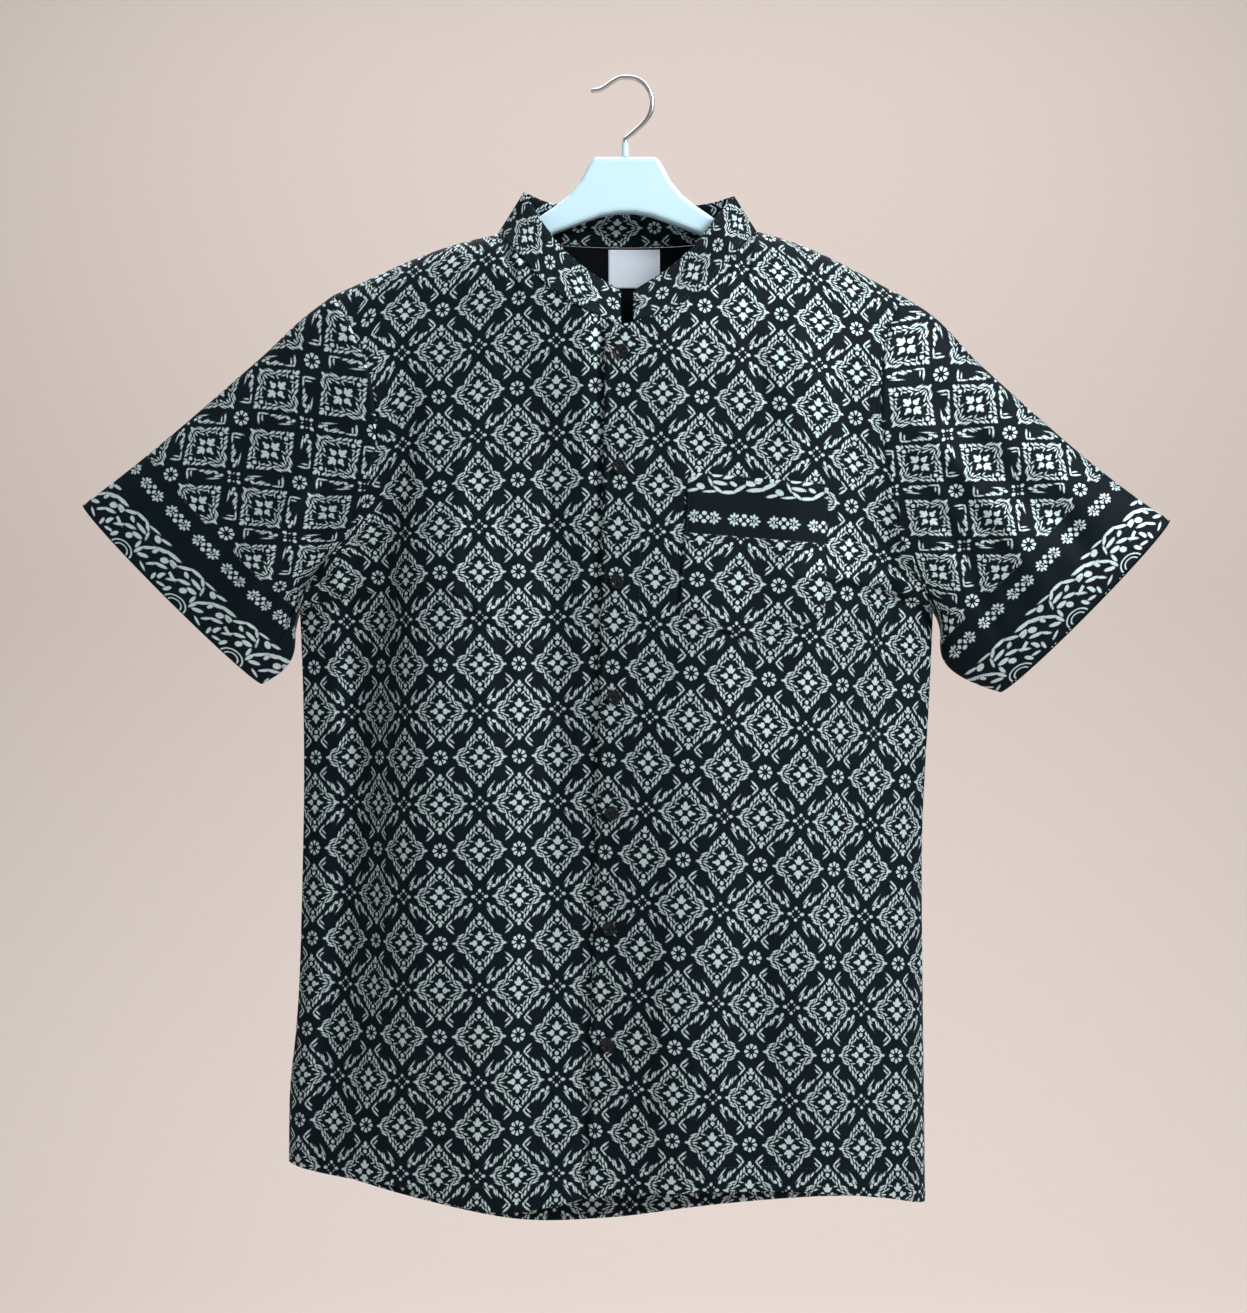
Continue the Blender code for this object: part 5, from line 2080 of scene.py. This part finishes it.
@dataclass(frozen=True)
class StitchLine:
    """A row of machine stitches: points and outward directions along the cloth, in millimetres."""

    name: str
    path: Sequence[tuple[Vector, Vector]]
    closed: bool = False
    pitch: float = 3.3
    length: float = 2.7
    thick: float = 0.42
    flatness: float = 0.7
    unevenness: float = 0.08
    seed: int = 11

    def build(self, nodes: StitchNodes, thread: Material) -> Object:
        """Lay the stitches and keep them as a plain mesh.

        Args:
            nodes: the group that lays them.
            thread: the thread's finish.

        Returns:
            The stitches.
        """
        mesh = bpy.data.meshes.new(self.name)
        edges = [(index, index + 1) for index in range(len(self.path) - 1)]
        if self.closed:
            edges.append((len(self.path) - 1, 0))
        mesh.from_pydata([point * MM for point, _ in self.path], edges, [])
        outward = mesh.attributes.new("outward", "FLOAT_VECTOR", "POINT")
        outward.data.foreach_set("vector", [value for _, unit in self.path for value in unit])
        item = placed(self.name, mesh)
        layer = item.modifiers.new("stitches", "NODES")
        layer.node_group = nodes.tree
        values = {
            "Pitch": self.pitch * MM,
            "Stitch Size": [self.length * MM, self.thick * MM, self.thick * MM * self.flatness],
            "Unevenness": self.unevenness, "Seed": self.seed, "Thread": thread,
        }
        for name, value in values.items():
            layer[nodes.ids[name]] = value
        laid = baked(item)
        item.modifiers.clear()
        item.data = laid
        bpy.data.meshes.remove(mesh)
        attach(item, "root")
        return item


@dataclass
class Hanger:
    """The white hanger: its moulded body and ferrule stay, and its wire hook is drawn finer."""

    wire: float = 3.8
    points: int = 140
    sides: int = 24
    line: Outline = outline(
        (-3.9, -48.9), (-3.6, -46.8), (2.4, -41.5), (9.9, -34.6), (15.6, -27), (17.6, -18.5), (16.2, -10.5),
        (12.4, -4.2), (6.4, 0.4), (0, 1.9), (-7.9, 1.7), (-14.2, -1.6), (-20.5, -6), (-25, -8),
        (-29.1, -8.4),
    )

    def build(self, plastic: Material, metal: Material) -> Object:
        """Dress the hanger.

        Args:
            plastic: the body's finish.
            metal: the hook's finish.

        Returns:
            The wire hook.
        """
        for node in ("hanger_body", "hanger_ferrule"):
            piece = bpy.data.objects[node]
            if not piece.material_slots:
                piece.data.materials.append(plastic)
            for slot in piece.material_slots:
                slot.material = plastic
        mesh = bmesh.new()
        curve = flat_line(self.line)
        path = [curve.at(index / (self.points - 1)) for index in range(self.points)]
        sweep(mesh, path, self.wire / 2, self.sides)
        hook = mesh_object("wire_hook", mesh)
        hook.data.materials.append(metal)
        hook.data.shade_smooth()
        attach(hook, "root")
        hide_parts("hanger_hook")
        return hook


@dataclass
class Studio:
    """The pale floor and sweep, the soft lights and the camera."""

    camera_at: Triple = (-0.0051, -1.6, -0.4539)
    view_height: float = 1313 / 1270
    floor: float = -1.5
    wall_y: float = 3.0
    bend: float = 1.2
    aim_z: float = -0.45
    pale: Triple = (0.70, 0.62, 0.585)

    def build(self) -> None:
        """Set up everything round the shirt."""
        camera = bpy.data.cameras.new("camera")
        camera.sensor_fit = "VERTICAL"
        camera.sensor_height = 36
        camera.sensor_width = 36
        camera.lens = 36 * abs(self.camera_at[1]) / self.view_height
        item = placed("camera", camera)
        item.location = self.camera_at
        item.rotation_euler = (math.radians(90), 0, 0)
        bpy.context.scene.camera = item
        self.sweep_floor()
        self.light("key", (1.6, -1.5, 0.95), 1.1, 78, (1.0, 0.99, 0.97))
        self.light("fill", (-1.8, -1.2, 0.2), 1.0, 4, (0.95, 0.98, 1.0))
        self.light("top", (0.0, 0.9, 2.2), 3.2, 106, (1.0, 0.995, 0.98))
        world = bpy.data.worlds.new("studio")
        world.use_nodes = True
        back = world.node_tree.nodes["Background"]
        back.inputs["Color"].default_value = (0.96, 0.985, 1.0, 1)
        back.inputs["Strength"].default_value = 0.25
        bpy.context.scene.world = world

    def light(self, name: str, place: Triple, size: float, power: float, colour: Triple) -> None:
        """Aim a soft square light at the shirt.

        Args:
            name: the light's name.
            place: where it stands, in metres.
            size: its side, in metres.
            power: its power, in watts.
            colour: its colour.
        """
        data = bpy.data.lights.new(name, "AREA")
        data.shape = "SQUARE"
        data.size = size
        data.energy = power
        data.color = colour
        item = placed(name, data)
        item.location = place
        aim = Vector((0, 0, self.aim_z)) - Vector(place)
        item.rotation_euler = aim.to_track_quat("-Z", "Y").to_euler()

    def sweep_floor(self) -> None:
        """Lay the floor and curve it up into the backdrop."""
        mesh = bmesh.new()
        profile = [(-4.0, self.floor)]
        for step in range(25):
            angle = math.pi / 2 * step / 24
            y = self.wall_y - self.bend + self.bend * math.sin(angle)
            profile.append((y, self.floor + self.bend * (1 - math.cos(angle))))
        profile.append((self.wall_y, 3.2))
        lines = []
        for y, z in profile:
            lines.append([mesh.verts.new((x, y, z)) for x in (-5.0, 5.0)])
        for low, high in zip(lines, lines[1:]):
            mesh.faces.new((low[0], low[1], high[1], high[0]))
        bmesh.ops.recalc_face_normals(mesh, faces=mesh.faces)
        floor = mesh_object("pale_sweep", mesh)
        board = Board("pale_paper")
        place = board.object_place()
        speck = board.noise(place, 60.0, 3.0)
        darker = tuple(value * 0.97 for value in self.pale)
        board.dress(Base_Color=board.mix(speck, darker, self.pale), Roughness=0.9)
        floor.data.materials.append(board.material)
        floor.data.shade_smooth()


def dress_cloth(pieces: Sequence[Cloth], finishes: dict[str, Sequence[Material]]) -> None:
    """Build cloth pieces, attach each to the root body and hide the part that it replaces.

    Args:
        pieces: the pieces.
        finishes: each piece's finishes, by its node, "" for the rest.
    """
    for cloth in pieces:
        item = cloth.build(finishes.get(cloth.node, finishes[""]))
        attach(item, "root")
        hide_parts(cloth.node)
        "label_cloth" if cloth.node == "label" else "patterned_cloth"
        log_pieces([item])


def main() -> None:
    """Build the shirt, its hanger and the studio, piece by piece."""
    logging.basicConfig(level=logging.INFO, format="%(message)s")
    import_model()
    bpy.context.scene.view_settings.view_transform = "Standard"
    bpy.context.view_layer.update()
    shape = GarmentShape()
    Studio().build()
    body = Body(shape)
    right = body.front(Side.RIGHT)
    left = body.front(Side.LEFT)
    back = body.back()
    start = shape.body_rows
    rows = shape.rows()
    arm = next(index for index, row in enumerate(rows) if row >= start)

    def armhole(panel: Cloth, column: int) -> list[Vector]:
        """Give a panel's armhole edge from the underarm up."""
        return [line[column] for line in panel.points[arm:]]

    right_sleeve = Sleeve(shape, Side.RIGHT, armhole(right, 0), armhole(back, 0)).build()
    left_sleeve = Sleeve(shape, Side.LEFT, armhole(left, 0), armhole(back, -1)).build()
    collar = Collar(shape).build(right, back, left)
    sew([right, left, back, right_sleeve, left_sleeve, collar])
    pocket = ChestPocket().build(left)
    label = NeckLabel().build(back)
    sew([pocket])
    sew([label])
    LOG.info("cloth laid out")

    brocade = BrocadeFinish("brocade").make()
    past_border = BrocadeFinish("brocade_past_border", Weave.PAST_BORDER).make()
    border = BrocadeFinish("brocade_border", Weave.BORDER).make()
    reverse = ReverseFinish().make()
    ribbon = RibbonFinish().make()
    bordered = (past_border, reverse, border)
    finishes = {
        "": (brocade, reverse),
        "sleeve_right": bordered,
        "sleeve_left": bordered,
        "pocket": bordered,
        "label": (ribbon, ribbon),
    }
    dress_cloth([right, left, back, right_sleeve, left_sleeve, collar, pocket, label], finishes)
    button_finish = PlainFinish("button_resin", (0.003, 0.005, 0.008), 0.28, shine=0.3).make()
    thread_finish = PlainFinish("black_thread", (0.012, 0.014, 0.016), 0.6, grain=2500).make()
    log_pieces(Buttons().build(shape, left, button_finish, thread_finish))
    sewing = StitchNodes()
    seams = (
        ("placket", left, "last column", 4.0, 6, -3),
        ("placket_inner", left, "last column", 31.0, 12, -40),
        ("right_hem", right, "first row", 19.0, 5, -5),
        ("left_hem", left, "first row", 19.0, 5, -5),
        ("back_hem", back, "first row", 19.0, 5, -5),
        ("right_sleeve_hem", right_sleeve, "last row", 23.0, 0, None),
        ("left_sleeve_hem", left_sleeve, "last row", 23.0, 0, None),
        ("collar_edge", collar, "last row", 4.0, 6, -6),
        ("collar_seam", collar, "first row", 3.5, 6, -6),
        ("pocket_top", pocket, "last row", 3.0, 3, -3),
        ("pocket_lower", pocket, "first row", 2.2, 2, -2),
        ("pocket_right", pocket, "first column", 2.2, 1, -1),
        ("pocket_left", pocket, "last column", 2.2, 1, -1),
    )
    for name, cloth, edge, distance, first, last in seams:
        path = cloth.beside_edge(edge, distance)[first:last]
        row = StitchLine(f"{name}_stitches", path, closed=cloth.wraps)
        log_pieces([row.build(sewing, thread_finish)])
    plastic = PlainFinish("white_moulding", (0.58, 0.83, 0.97), 0.36, coat=0.15, mottle=0.02).make()
    metal = PlainFinish("plated_wire", (0.62, 0.62, 0.63), 0.24, metallic=1.0, mottle=0.08).make()
    log_pieces([Hanger().build(plastic, metal)])


if __name__ == "__main__":
    main()
